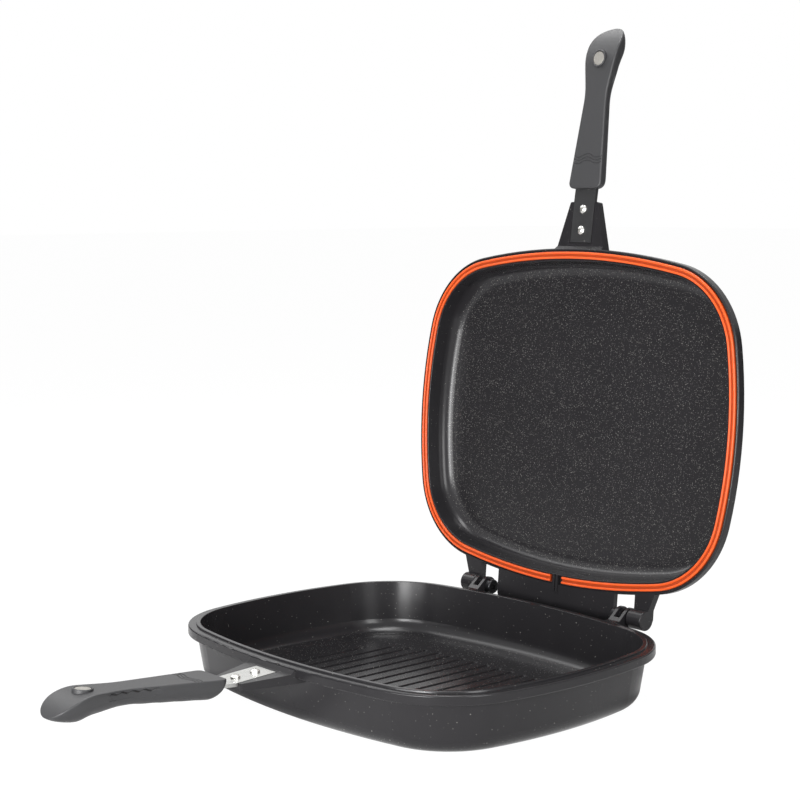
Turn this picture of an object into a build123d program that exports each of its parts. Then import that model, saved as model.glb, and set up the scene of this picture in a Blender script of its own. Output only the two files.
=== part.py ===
from build123d import *
import math
import os

# Double sided flip pan: two cast aluminium pans hinged behind their rear rims, each with a
# moulded grip on a steel tongue. X runs along the hinge, -Y points at the grips, +Z is up.
# The origin is the middle of the lower pan's base. The upper pan is modelled shut, then
# swung open about the hinge axis to where its skirt rests on the lower pan's apron.

# ---- Outline that both pans share: bowed sides and ends joined by round corners ----
PAN_LENGTH = 406.0
PAN_WIDTH = 320.0
SIDE_BOW_RADIUS = 425.0
END_BOW_RADIUS = 690.0
CORNER_RADIUS = 87.0
LID_OVERHANG = 0.75

# ---- Lower pan section ----
LIP_TOP = 54.0
LIP_RISE = 1.5
LIP_WIDTH = 3.6
LIP_SLOPE = 0.4
LIP_EDGE_RADIUS = 0.6
FLANGE_HEIGHT = 8.5
FLANGE_OVERHANG = 8.0
FLANGE_EDGE_RADIUS = 1.4
FLANGE_ROOT_RADIUS = 2.0
CAVITY_INSET = 11.1
OUTER_DRAFT = 9.1
INNER_DRAFT = 7.3
FLOOR_THICKNESS = 5.0
OUTER_FOOT_RADIUS = 16.0
INNER_FOOT_RADIUS = 14.0
SECTION_REACH = 29.0

# ---- Grill grooves in the lower pan's floor ----
GROOVE_PITCH = 16.0
GROOVES_EACH_SIDE = 8
GROOVE_WIDTH = 5.0
GROOVE_DEPTH = 1.8
GROOVE_FIELD_HALF_LENGTH = 132.0
GROOVE_FIELD_HALF_WIDTH = 92.0
GROOVE_FIELD_POWER = 3.5

# ---- Upper pan section, measured from the plane of the gasket's ribs ----
SEAL_GAP = 0.3
GASKET_PROUD = 1.2
LID_FLANGE_HEIGHT = 8.8
LID_CAVITY_INSET = 11.75
LID_DEPTH = 30.0
LID_THICKNESS = 3.5
LID_OUTER_FOOT_RADIUS = 17.0
LID_INNER_FOOT_RADIUS = 14.0

# ---- Gasket and its channel ----
GASKET_INSET = 1.8
GASKET_WIDTH = 8.7
CHANNEL_DEPTH = 2.5
GASKET_SIDE_GAP = 0.1
RIB_WIDTH = 3.3
RIB_HEIGHT = 1.0
RIB_EDGE_RADIUS = 0.45
GASKET_MOUTH = 15.0

# ---- Vent: a split tab on the lid inside the gasket's mouth, and a notch in the lip ----
VENT_OFFSET = 2.0
VENT_TAB_WIDTH = 6.0
VENT_SLOT_WIDTH = 1.4
VENT_SLOT_DEPTH = 1.2
VENT_TAB_PROUD = 1.6
VENT_TAB_END = 7.5
VENT_TAB_TAPER = 3.0
NOTCH_WIDTH = 15.0
NOTCH_FLOOR_WIDTH = 9.0

# ---- Hinge ----
HINGE_BEHIND_RIM = 14.3
HINGE_BELOW_LIP = 0.3
OPEN_ANGLE = 95.0
LUG_INNER_FACE = 86.0
LUG_WIDTH = 13.5
LUG_RADIUS = 9.0
LUG_ROOT_LENGTH = 10.0
LUG_PLATE_THICKNESS = 3.2
LUG_SLOT_BEHIND_RIM = 2.0
HINGE_GAP = 0.3
THRUST_WASHER_THICKNESS = 1.0
THRUST_WASHER_RADIUS = 7.5
SPRING_WASHER_THICKNESS = 1.1
SPRING_WASHER_RADIUS = 6.6
SPRING_WASHER_SLIT = 1.2
BARREL_LENGTH = 17.2
BARREL_RADIUS = 9.2
BARREL_EDGE_RADIUS = 1.0
ARM_ROOT_WIDTH = 25.0
ARM_ROOT_LENGTH = 8.0
LOCK_NUT_ACROSS_FLATS = 13.0
LOCK_NUT_CHAMFER = 0.8
LOCK_NUT_GROOVE_WIDTH = 1.0
LOCK_NUT_GROOVE_DEPTH = 0.8
BOLT_SHOULDER_RADIUS = 4.0
BOLT_FIT = 0.05
BOLT_THREAD_RADIUS = 3.0
BOLT_THREAD_LENGTH = 11.5
THREAD_GAP = 0.08
BORE_RELIEF = 1.5
BOLT_HEAD_RADIUS = 7.0
BOLT_HEAD_HEIGHT = 5.4
BOLT_HEAD_EDGE = 1.6
DRIVER_RECESS_RADIUS = 2.4
DRIVER_RECESS_DEPTH = 2.2

# ---- Lid skirt behind the rear rim, and the apron of the lower pan that stops it ----
SKIRT_HALF_LENGTH = 76.0
SKIRT_BEHIND_AXIS = 9.7
SKIRT_THICKNESS = 5.0
SKIRT_EDGE_RADIUS = 1.5
SKIRT_CORNER_RADIUS = 6.0
APRON_HALF_LENGTH = 68.0
APRON_THICKNESS = 6.0
APRON_CORNER_RADIUS = 8.0
STOP_GAP = 0.3
TROUGH_DEPTH = 1.6
TROUGH_WALL = 4.0

# ---- Handle brackets ----
BRACKET_DROP = 6.0
BRACKET_SLOPE = 3.0
BRACKET_LENGTH = 45.0
BRACKET_ROOT_HALF_WIDTH = 30.0
BRACKET_TIP_HALF_WIDTH = 17.5
BRACKET_ROOT_THICKNESS = 8.4
BRACKET_BITE = 11.0
BRACKET_EDGE_RADIUS = 2.0
POCKET_START = 6.0
POCKET_DEPTH = 2.8
TONGUE_SIDE_GAP = 0.5
ROOT_BEAD_RUN = 4.6

# ---- Steel tongues ----
TONGUE_WIDTH = 26.6
TONGUE_THICKNESS = 3.0
TONGUE_BEND_PAST_TIP = 1.5
TONGUE_BEND_RADIUS = 12.0
TONGUE_TANG_WIDTH = 18.0
TONGUE_TANG_LENGTH = 46.0
TONGUE_SHOULDER_INSIDE = 4.0

# ---- Bracket screws ----
SCREW_HEAD_RADIUS = 4.2
SCREW_HEAD_HEIGHT = 3.0
SCREW_HEAD_RIM = 1.6
SCREW_SHANK_RADIUS = 2.0
SCREW_LENGTH = 7.0
SCREW_PITCH = 20.0
SCREW_FROM_TIP = 7.0
SLOT_WIDTH = 1.0
SLOT_DEPTH = 0.9

# ---- Grips: one moulding, used twice ----
GRIP_START_FROM_RIM = 57.9
GRIP_RISE_AT_START = 2.18
GRIP_TILT = 4.74
GRIP_GAP = 1.0
GRIP_STANDOFF = 3.2
GRIP_STRAIGHT = 118.5
GRIP_TIP_BEND_RADIUS = 48.0
GRIP_LENGTH = 161.5
GRIP_EDGE_RADIUS = 1.2
GRIP_COLLAR_CORNER = 6.0
GRIP_COLLAR_BACK_ROUND = 12.0
GRIP_TIP_ROUND = 27.0
GRIP_TIP_DEPTH = 4.0
GRIP_COLLAR_HALF_WIDTH = 20.4
GRIP_WAIST_HALF_WIDTH = 13.3
GRIP_HEEL_HALF_WIDTH = 19.6
GRIP_COLLAR_DEPTH = 20.0
GRIP_WAIST_DEPTH = 15.2
GRIP_HEEL_DEPTH = 21.0
GRIP_WAIST_AT = 88.0
GRIP_HEEL_AT = 136.0
GRIP_HEEL_POWER = 1.5
GRIP_WAIST_SECTIONS = 3
GRIP_TIP_SECTIONS = 9
SOCKET_GAP = 0.2
SCALLOP_COUNT = 5
SCALLOP_PITCH = 19.0
SCALLOP_RADIUS = 36.0
SCALLOP_DEPTH = 1.1
SCALLOPS_START = 24.0

# ---- Grip screws and magnets ----
GRIP_SCREW_AT = 28.0
GRIP_SCREW_HEAD_RADIUS = 4.0
GRIP_SCREW_HEAD_HEIGHT = 2.6
GRIP_SCREW_SHANK_RADIUS = 2.0
GRIP_SCREW_TIP_PAST_TONGUE = 1.5
GRIP_SCREW_SEAT_PLASTIC = 1.6
MAGNET_AT = 123.5
MAGNET_RADIUS = 6.5
MAGNET_THICKNESS = 4.0
MAGNET_RECESS = 0.4
MAGNET_BOSS_RISE = 1.7
MAGNET_BOSS_WALL = 1.8
MAGNET_BOSS_EDGE_RADIUS = 0.8

# ---- Levels and places that follow from the sizes above ----
HALF_WIDTH = PAN_WIDTH / 2
HALF_LENGTH = PAN_LENGTH / 2
LAND_TOP = LIP_TOP - LIP_RISE
SEAL_PLANE = LIP_TOP + SEAL_GAP
LID_RIM = SEAL_PLANE + GASKET_PROUD
PARTING = (LIP_TOP + SEAL_PLANE) / 2
SLAB_INSET = CAVITY_INSET + SECTION_REACH
HINGE_Y = HALF_WIDTH + HINGE_BEHIND_RIM
HINGE_Z = LIP_TOP - HINGE_BELOW_LIP
HINGE_AXIS = Axis((0, HINGE_Y, HINGE_Z), (1, 0, 0))
LUG_OUTER_FACE = LUG_INNER_FACE + LUG_WIDTH
BARREL_INNER_FACE = LUG_OUTER_FACE + HINGE_GAP + THRUST_WASHER_THICKNESS
NUT_SPACE = LUG_WIDTH - 2 * LUG_PLATE_THICKNESS
STOP_BEHIND_AXIS = LID_RIM - HINGE_Z - STOP_GAP
MAGNET_BOSS_TOP = GRIP_STANDOFF - MAGNET_BOSS_RISE
UP = Vector(0, 0, 1)


def outline_arcs():
    """The eight tangent arcs, counter-clockwise: centre, radius, start and sweep in radians."""
    side = Vector(HALF_LENGTH - SIDE_BOW_RADIUS, 0)
    end = Vector(0, HALF_WIDTH - END_BOW_RADIUS)
    from_side = SIDE_BOW_RADIUS - CORNER_RADIUS
    from_end = END_BOW_RADIUS - CORNER_RADIUS
    apart = end - side
    along = (from_side**2 - from_end**2 + apart.length**2) / (2 * apart.length)
    across = math.sqrt(from_side**2 - along**2)
    corner = side + apart.normalized() * along + apart.cross(UP).normalized() * -across
    side_half = math.atan2(corner.Y - side.Y, corner.X - side.X)
    end_half = math.pi / 2 - math.atan2(corner.Y - end.Y, corner.X - end.X)
    corner_sweep = math.pi / 2 - side_half - end_half
    arcs = []
    for turn in (0, math.pi):
        flip = math.cos(turn)
        arcs.append((side * flip, SIDE_BOW_RADIUS, turn - side_half, 2 * side_half))
        arcs.append((corner * flip, CORNER_RADIUS, turn + side_half, corner_sweep))
        arcs.append((end * flip, END_BOW_RADIUS, turn + math.pi / 2 - end_half, 2 * end_half))
        mirrored = Vector(-corner.X, corner.Y) * flip
        start = turn + math.pi / 2 + end_half
        arcs.append((mirrored, CORNER_RADIUS, start, corner_sweep))
    return arcs


def outline_face(inset):
    """Flat face inside the pan outline, moved in by an inset."""
    edges = [
        CenterArc(centre, radius - inset, math.degrees(start), math.degrees(sweep))
        for centre, radius, start, sweep in outline_arcs()
    ]
    return make_face(edges)


def rim_section(corners):
    """Closed section from (inset, height, corner radius), with insets toward the middle."""
    points = [(-inset, height) for inset, height, _ in corners]
    radii = [radius for _, _, radius in corners]
    return make_face(FilletPolyline(*points, radius=radii, close=True))


def carry_round(section):
    """Turn a section about every arc of the outline and join the stretches."""
    stretches = []
    for centre, radius, start, sweep in outline_arcs():
        outward = Vector(math.cos(start), math.sin(start))
        plane = Plane(origin=centre + outward * radius, x_dir=outward, z_dir=outward.cross(UP))
        turned = revolve(
            plane * section, axis=Axis(centre, UP), revolution_arc=math.degrees(sweep)
        )
        stretches.append(turned)
    return Part() + stretches


def side_plane(x):
    """Plane across X whose sketch axes are world Y and Z."""
    return Plane(origin=(x, 0, 0), x_dir=(0, 1, 0), z_dir=(1, 0, 0))


def disc_along_x(radius, x_from, x_to):
    """Cylinder on the hinge axis between two places along X."""
    plane = Plane(origin=(x_from, HINGE_Y, HINGE_Z), x_dir=(0, 1, 0), z_dir=(1, 0, 0))
    return extrude(plane * Circle(radius), amount=x_to - x_from)


def arm_profile(root_y, low, high, radius, bite):
    """Side view of a hinge arm: a band at the flange that runs tangent onto the hinge circle."""
    circle = Pos(HINGE_Y, HINGE_Z) * Circle(radius)
    band_end = Line((root_y, low), (root_y, high))
    root = Pos(root_y, low) * Rectangle(bite, high - low, align=(Align.MAX, Align.MIN))
    return make_hull(circle.edges() + band_end.edges()) + root


def mirror_pair(right):
    """The part with its copy on the other side of the YZ plane."""
    return right + mirror(right, about=Plane.YZ)


# ---- Brackets, tongues and their screws -------------------------------------------
def bracket_frame():
    """Plane on the lower bracket's face: X across, Y outward to the grip, Z into the metal."""
    slope = math.radians(BRACKET_SLOPE)
    return Plane(
        origin=(0, -HALF_WIDTH, LIP_TOP - BRACKET_DROP),
        x_dir=(1, 0, 0),
        z_dir=(0, math.sin(slope), -math.cos(slope)),
    )


def bracket_blank():
    """Tapered cast bracket with the tongue's pocket, in the lower pan's place."""
    frame = bracket_frame()
    root_slope = (BRACKET_ROOT_HALF_WIDTH - BRACKET_TIP_HALF_WIDTH) / BRACKET_LENGTH
    back_half_width = BRACKET_ROOT_HALF_WIDTH + root_slope * BRACKET_BITE
    plan = make_face(
        Polyline(
            (-back_half_width, -BRACKET_BITE),
            (-BRACKET_TIP_HALF_WIDTH, BRACKET_LENGTH),
            (BRACKET_TIP_HALF_WIDTH, BRACKET_LENGTH),
            (back_half_width, -BRACKET_BITE),
            close=True,
        )
    )
    body = extrude(frame * plan, amount=BRACKET_ROOT_THICKNESS)
    bead_top = LAND_TOP - FLANGE_EDGE_RADIUS
    face_level = LIP_TOP - BRACKET_DROP
    bead_profile = make_face(
        Polyline(
            (-HALF_WIDTH + BRACKET_EDGE_RADIUS, bead_top),
            (-HALF_WIDTH, bead_top),
            (-HALF_WIDTH - ROOT_BEAD_RUN, face_level - BRACKET_EDGE_RADIUS),
            (-HALF_WIDTH + BRACKET_EDGE_RADIUS, face_level - BRACKET_EDGE_RADIUS),
            close=True,
        )
    )
    bead = extrude(side_plane(0) * bead_profile, amount=back_half_width, both=True)
    bead &= extrude(frame * plan, amount=BRACKET_ROOT_THICKNESS, both=True)
    tip_edges = body.edges().filter_by(Axis(frame.origin, frame.z_dir)).sort_by(Axis.Y)[:2]
    body = fillet(tip_edges, BRACKET_EDGE_RADIUS) + bead
    level = LIP_TOP - BRACKET_DROP - BRACKET_ROOT_THICKNESS
    below = Pos(0, -HALF_WIDTH, level) * Box(
        4 * BRACKET_ROOT_HALF_WIDTH,
        4 * BRACKET_LENGTH,
        BRACKET_ROOT_THICKNESS,
        align=(Align.CENTER, Align.CENTER, Align.MAX),
    )
    body -= below
    pocket = make_face(
        Polyline(
            (-TONGUE_WIDTH / 2 - TONGUE_SIDE_GAP, POCKET_START),
            (-TONGUE_WIDTH / 2 - TONGUE_SIDE_GAP, 2 * BRACKET_LENGTH),
            (TONGUE_WIDTH / 2 + TONGUE_SIDE_GAP, 2 * BRACKET_LENGTH),
            (TONGUE_WIDTH / 2 + TONGUE_SIDE_GAP, POCKET_START),
            close=True,
        )
    )
    body -= extrude(frame * pocket, amount=POCKET_DEPTH)
    return body


def screw_places():
    """Distances of the bracket screws from the rim, along the bracket's face."""
    outer = BRACKET_LENGTH - SCREW_FROM_TIP
    return [outer - SCREW_PITCH, outer]


def on_tongue(distance):
    """Place on the outer face of the tongue in its pocket, Z into the metal."""
    return bracket_frame() * Pos(0, distance, POCKET_DEPTH - TONGUE_THICKNESS)


def bracket_screws():
    """Two pan-head slotted screws, their heads on the tongue."""
    rise = SCREW_HEAD_HEIGHT
    dome_rise = SCREW_HEAD_HEIGHT - SCREW_HEAD_RIM
    dome_radius = (SCREW_HEAD_RADIUS**2 + dome_rise**2) / (2 * dome_rise)
    profile = make_face(
        [
            Line((0, -rise), (0, SCREW_LENGTH)),
            Line((0, SCREW_LENGTH), (SCREW_SHANK_RADIUS, SCREW_LENGTH)),
            Line((SCREW_SHANK_RADIUS, SCREW_LENGTH), (SCREW_SHANK_RADIUS, 0)),
            Line((SCREW_SHANK_RADIUS, 0), (SCREW_HEAD_RADIUS, 0)),
            Line((SCREW_HEAD_RADIUS, 0), (SCREW_HEAD_RADIUS, -SCREW_HEAD_RIM)),
            RadiusArc((SCREW_HEAD_RADIUS, -SCREW_HEAD_RIM), (0, -rise), dome_radius),
        ]
    )
    upright = Plane(origin=(0, 0, 0), x_dir=(1, 0, 0), z_dir=(0, -1, 0))
    screw = revolve(upright * profile, axis=Axis.Z)
    slot = Pos(0, 0, SLOT_DEPTH - rise) * Box(
        3 * SCREW_HEAD_RADIUS, SLOT_WIDTH, 3 * SCREW_HEAD_HEIGHT,
        align=(Align.CENTER, Align.CENTER, Align.MAX),
    )
    screw -= slot
    return Part() + [on_tongue(distance) * screw for distance in screw_places()]


def screw_holes(radius, depth):
    """Cutters for the bracket screws, from the tongue's face inward."""
    hole = Cylinder(radius, depth, align=(Align.CENTER, Align.CENTER, Align.MIN))
    return Part() + [on_tongue(distance) * hole for distance in screw_places()]


def tongue_path(away, reach):
    """Centre line of a tongue in the bracket's frame, bent at the bracket's tip.

    away is -1 where the grip leans toward the parting plane and +1 where it leans from it.
    """
    middle = POCKET_DEPTH - TONGUE_THICKNESS / 2
    bend_at = BRACKET_LENGTH + TONGUE_BEND_PAST_TIP
    bend = math.radians(away * GRIP_TILT - BRACKET_SLOPE)
    run = GRIP_START_FROM_RIM - bend_at + reach
    start = (POCKET_START + TONGUE_SIDE_GAP, middle)
    corner = (bend_at, middle)
    end = (bend_at + run * math.cos(bend), middle + run * math.sin(bend))
    return FilletPolyline(start, corner, end, radius=TONGUE_BEND_RADIUS)


def tongue_form(away, gap=0.0):
    """Tongue in the lower pan's place, or the socket that it fits when a gap is given."""
    thickness = TONGUE_THICKNESS + 2 * gap
    section = trace(tongue_path(away, TONGUE_TANG_LENGTH + gap), line_width=thickness)
    upright = bracket_frame() * Plane(origin=(0, 0, 0), x_dir=(0, 1, 0), z_dir=(1, 0, 0))
    tang = extrude(upright * section, amount=TONGUE_TANG_WIDTH / 2 + gap, both=True)
    strap = extrude(upright * section, amount=TONGUE_WIDTH / 2 + gap, both=True)
    shoulder = GRIP_START_FROM_RIM + TONGUE_SHOULDER_INSIDE + gap
    beyond = Pos(0, -HALF_WIDTH - shoulder, LIP_TOP) * Box(
        2 * TONGUE_WIDTH,
        2 * TONGUE_TANG_LENGTH,
        2 * LIP_TOP,
        align=(Align.CENTER, Align.MAX, Align.CENTER),
    )
    return tang + (strap - beyond)


def tongue(away):
    """Tongue with the holes of its two bracket screws and of the grip screw."""
    body = tongue_form(away) - screw_holes(SCREW_SHANK_RADIUS + THREAD_GAP, TONGUE_THICKNESS)
    return body - grip_screw_cut(away)


# ---- Grips, their screws and magnets ----------------------------------------------
def grip_frame(away):
    """Plane half a gap from the parting plane: Y outward along the grip, Z into it.

    It is given in the lower pan's place, so the lid's is mirrored with its tongue later.
    """
    tilt = math.radians(GRIP_TILT)
    level = PARTING - away * GRIP_RISE_AT_START - GRIP_GAP / 2
    return Plane(
        origin=(0, -HALF_WIDTH - GRIP_START_FROM_RIM, level),
        x_dir=(1, 0, 0),
        z_dir=(0, away * math.sin(tilt), -math.cos(tilt)),
    )


def tongue_depth(away):
    """Depth of the tongue's middle behind the mating face of its grip."""
    bend_at = BRACKET_LENGTH + TONGUE_BEND_PAST_TIP
    middle = POCKET_DEPTH - TONGUE_THICKNESS / 2
    bend = bracket_frame().from_local_coords(Vector(0, bend_at, middle))
    return grip_frame(away).to_local_coords(bend).Z


def swell(station, collar, waist, heel):
    """Value that falls evenly from the collar to the waist and swells again to the heel."""
    if station <= GRIP_WAIST_AT:
        return collar + (waist - collar) * station / GRIP_WAIST_AT
    share = min(1.0, (station - GRIP_WAIST_AT) / (GRIP_HEEL_AT - GRIP_WAIST_AT))
    return waist + (heel - waist) * math.sin(share * math.pi / 2) ** GRIP_HEEL_POWER


def grip_sizes(station):
    """Half width and depth of the grip at a station; the depth thins out at the tip."""
    half_width = swell(
        station, GRIP_COLLAR_HALF_WIDTH, GRIP_WAIST_HALF_WIDTH, GRIP_HEEL_HALF_WIDTH
    )
    depth = swell(station, GRIP_COLLAR_DEPTH, GRIP_WAIST_DEPTH, GRIP_HEEL_DEPTH)
    tip_share = max(0.0, (station - GRIP_LENGTH + GRIP_TIP_ROUND) / GRIP_TIP_ROUND)
    depth = GRIP_TIP_DEPTH + (depth - GRIP_TIP_DEPTH) * (1 - tip_share**2)
    return half_width, depth


def grip_section(half_width, depth):
    """Mating face with round edges, closed by a half-elliptic back."""
    edge = GRIP_EDGE_RADIUS
    inner = half_width - edge
    return make_face(
        [
            Line((-inner, 0), (inner, 0)),
            CenterArc((inner, edge), edge, -90, 90),
            EllipticalCenterArc((0, edge), half_width, depth - edge, arc_size=180),
            CenterArc((-inner, edge), edge, 180, 90),
        ]
    )


def grip_place(station):
    """Distance along the frame, drop from it and slope of the face at a station."""
    bent = max(0.0, station - GRIP_STRAIGHT) / GRIP_TIP_BEND_RADIUS
    along = min(station, GRIP_STRAIGHT) + GRIP_TIP_BEND_RADIUS * math.sin(bent)
    return along, GRIP_STANDOFF + GRIP_TIP_BEND_RADIUS * (1 - math.cos(bent)), bent


def grip_stretch(start, end, count):
    """Loft of evenly spaced sections, square to the face, which bends away near the tip."""
    sections = []
    for number in range(count):
        station = start + (end - start) * number / (count - 1)
        along, drop, bent = grip_place(station)
        plane = Plane(
            origin=(0, along, drop),
            x_dir=(1, 0, 0),
            z_dir=(0, -math.cos(bent), -math.sin(bent)),
        )
        sections.append(plane * grip_section(*grip_sizes(station)))
    return loft(sections)


def grip_collar_limit():
    """Round corners of the grip's collar in plan and at its back, as a solid to keep."""
    clear = GRIP_EDGE_RADIUS
    slope = (GRIP_COLLAR_HALF_WIDTH - GRIP_WAIST_HALF_WIDTH) / GRIP_WAIST_AT
    half_width = GRIP_COLLAR_HALF_WIDTH + THREAD_GAP
    waist = half_width - slope * GRIP_WAIST_AT
    plan = make_face(
        FilletPolyline(
            (-half_width, 0), (half_width, 0), (waist, GRIP_WAIST_AT), (-waist, GRIP_WAIST_AT),
            radius=[GRIP_COLLAR_CORNER, GRIP_COLLAR_CORNER, 0, 0],
            close=True,
        )
    )
    depth = GRIP_STANDOFF + GRIP_COLLAR_DEPTH + THREAD_GAP
    fall = GRIP_COLLAR_DEPTH - GRIP_WAIST_DEPTH
    side = make_face(
        FilletPolyline(
            (0, -clear), (0, depth), (GRIP_WAIST_AT, depth - fall), (GRIP_WAIST_AT, -clear),
            radius=[0, GRIP_COLLAR_BACK_ROUND, 0, 0],
            close=True,
        )
    )
    upright = extrude(plan, amount=2 * GRIP_COLLAR_DEPTH)
    return upright & extrude(side_plane(0) * side, amount=2 * GRIP_COLLAR_HALF_WIDTH, both=True)


def grip_tip_limit():
    """Half-elliptic outline of the grip's tip, as a solid to keep."""
    tip, _, _ = grip_place(GRIP_LENGTH)
    shoulder, _, _ = grip_place(GRIP_LENGTH - GRIP_TIP_ROUND)
    half_width = GRIP_HEEL_HALF_WIDTH + THREAD_GAP
    round_end = Pos(0, shoulder) * Ellipse(half_width, tip - shoulder)
    straight = Pos(0, shoulder) * Rectangle(
        2 * half_width, shoulder, align=(Align.CENTER, Align.MAX)
    )
    return extrude(straight + round_end, amount=GRIP_LENGTH)


def magnet_boss():
    """Ring raised a little above the grip's face, around the magnet."""
    boss = Pos(0, MAGNET_AT, MAGNET_BOSS_TOP) * Cylinder(
        MAGNET_RADIUS + MAGNET_BOSS_WALL,
        MAGNET_RECESS + MAGNET_THICKNESS + MAGNET_BOSS_WALL,
        align=(Align.CENTER, Align.CENTER, Align.MIN),
    )
    rim = boss.edges().filter_by(GeomType.CIRCLE).sort_by(Axis.Z)[0]
    return fillet(rim, MAGNET_BOSS_EDGE_RADIUS)


def grip_blank():
    """The grip's moulding before its socket and bores, in its own frame."""
    collar = grip_stretch(0, GRIP_WAIST_AT, GRIP_WAIST_SECTIONS) & grip_collar_limit()
    tip = grip_stretch(GRIP_WAIST_AT, GRIP_LENGTH, GRIP_TIP_SECTIONS) & grip_tip_limit()
    body = collar + tip
    scallop = Rot(0, 90, 0) * Cylinder(SCALLOP_RADIUS, 4 * GRIP_COLLAR_HALF_WIDTH)
    for number in range(SCALLOP_COUNT):
        station = SCALLOPS_START + SCALLOP_PITCH * number
        _, depth = grip_sizes(station)
        back = GRIP_STANDOFF + depth
        body -= Pos(0, station, back + SCALLOP_RADIUS - SCALLOP_DEPTH) * scallop
    return body + magnet_boss()


def grip_screw_seat(away):
    """Depth at which the grip screw's head rests in the grip."""
    return tongue_depth(away) + TONGUE_THICKNESS / 2 + GRIP_SCREW_SEAT_PLASTIC


def grip_screw_length():
    """Length of the grip screw under its head."""
    return GRIP_SCREW_SEAT_PLASTIC + TONGUE_THICKNESS + GRIP_SCREW_TIP_PAST_TONGUE


def grip_screw_form(away, gap):
    """Shank and head of the grip screw in the grip's frame, grown by a gap."""
    seat = grip_screw_seat(away)
    length = grip_screw_length() + gap
    shank = Pos(0, GRIP_SCREW_AT, seat - length) * Cylinder(
        GRIP_SCREW_SHANK_RADIUS + gap, length, align=(Align.CENTER, Align.CENTER, Align.MIN)
    )
    head_height = GRIP_SCREW_HEAD_HEIGHT
    if gap:
        head_height = GRIP_COLLAR_DEPTH
    head = Pos(0, GRIP_SCREW_AT, seat) * Cylinder(
        GRIP_SCREW_HEAD_RADIUS + gap, head_height, align=(Align.CENTER, Align.CENTER, Align.MIN)
    )
    return shank + head


def grip_screw_cut(away):
    """Bore for the grip screw, in the lower pan's place."""
    return grip_frame(away) * grip_screw_form(away, THREAD_GAP)


def grip_screw(away):
    """Grip screw with a slotted head, in the lower pan's place."""
    top = grip_screw_seat(away) + GRIP_SCREW_HEAD_HEIGHT
    slot = Pos(0, GRIP_SCREW_AT, top - SLOT_DEPTH) * Box(
        3 * GRIP_SCREW_HEAD_RADIUS, SLOT_WIDTH, 2 * SLOT_DEPTH,
        align=(Align.CENTER, Align.CENTER, Align.MIN),
    )
    return grip_frame(away) * (grip_screw_form(away, 0.0) - slot)


def magnet_form(gap):
    """Disc of the magnet in the grip's frame, or its pocket when a gap is given."""
    depth = MAGNET_THICKNESS
    start = MAGNET_BOSS_TOP + MAGNET_RECESS
    if gap:
        depth += MAGNET_RECESS + MAGNET_THICKNESS
        start -= MAGNET_RECESS + MAGNET_THICKNESS
    return Pos(0, MAGNET_AT, start) * Cylinder(
        MAGNET_RADIUS + gap, depth, align=(Align.CENTER, Align.CENTER, Align.MIN)
    )


def magnet(away):
    """Magnet disc in the lower pan's place."""
    return grip_frame(away) * magnet_form(0.0)


def grip(away):
    """Grip with its tongue socket, screw bore and magnet pocket, in the lower pan's place."""
    body = grip_frame(away) * (grip_blank() - magnet_form(THREAD_GAP))
    body -= tongue_form(away, SOCKET_GAP)
    return body - grip_screw_cut(away)


# ---- Hinge ------------------------------------------------------------------------
def lower_lug():
    """Forked lug on the right of the lower pan, bored for the bolt's shoulder."""
    root_y = HALF_WIDTH - FLANGE_EDGE_RADIUS
    low = LAND_TOP - FLANGE_HEIGHT
    profile = arm_profile(root_y, low, LAND_TOP, LUG_RADIUS, LUG_ROOT_LENGTH)
    arm = extrude(side_plane(LUG_INNER_FACE) * profile, amount=LUG_WIDTH)
    middle = LUG_INNER_FACE + LUG_WIDTH / 2
    reach = HINGE_BEHIND_RIM + LUG_RADIUS - LUG_SLOT_BEHIND_RIM
    slot = Pos(middle, HALF_WIDTH + LUG_SLOT_BEHIND_RIM, HINGE_Z) * Box(
        NUT_SPACE, reach + HINGE_GAP, 2 * LUG_RADIUS + 2 * FLANGE_HEIGHT,
        align=(Align.CENTER, Align.MIN, Align.CENTER),
    )
    arm -= slot
    return arm - disc_along_x(BOLT_SHOULDER_RADIUS + BOLT_FIT, LUG_INNER_FACE, LUG_OUTER_FACE)


def lid_arm():
    """Flat arm and blind barrel on the right of the upper pan, shut."""
    barrel = disc_along_x(BARREL_RADIUS, BARREL_INNER_FACE, BARREL_INNER_FACE + BARREL_LENGTH)
    barrel = fillet(barrel.edges().filter_by(GeomType.CIRCLE), BARREL_EDGE_RADIUS)
    radius = BARREL_RADIUS - BARREL_EDGE_RADIUS
    root = HALF_WIDTH - FLANGE_OVERHANG - ARM_ROOT_LENGTH
    top = LID_RIM + LID_FLANGE_HEIGHT
    profile = arm_profile(HINGE_Y, LID_RIM, top - FLANGE_EDGE_RADIUS, radius, HINGE_Y - root)
    arm = extrude(side_plane(BARREL_INNER_FACE) * profile, amount=ARM_ROOT_WIDTH)
    end = BARREL_INNER_FACE + BARREL_LENGTH
    plan = make_face(
        Polyline(
            (BARREL_INNER_FACE, root),
            (BARREL_INNER_FACE + ARM_ROOT_WIDTH, root),
            (end, HINGE_Y - BARREL_RADIUS),
            (end, HINGE_Y + BARREL_RADIUS),
            (BARREL_INNER_FACE, HINGE_Y + BARREL_RADIUS),
            close=True,
        )
    )
    arm &= extrude(plan, amount=2 * LID_RIM)
    thread_end = BARREL_INNER_FACE + BOLT_THREAD_LENGTH + BORE_RELIEF
    bore = disc_along_x(BOLT_THREAD_RADIUS + THREAD_GAP, BARREL_INNER_FACE, thread_end)
    return barrel + arm - bore


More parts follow.
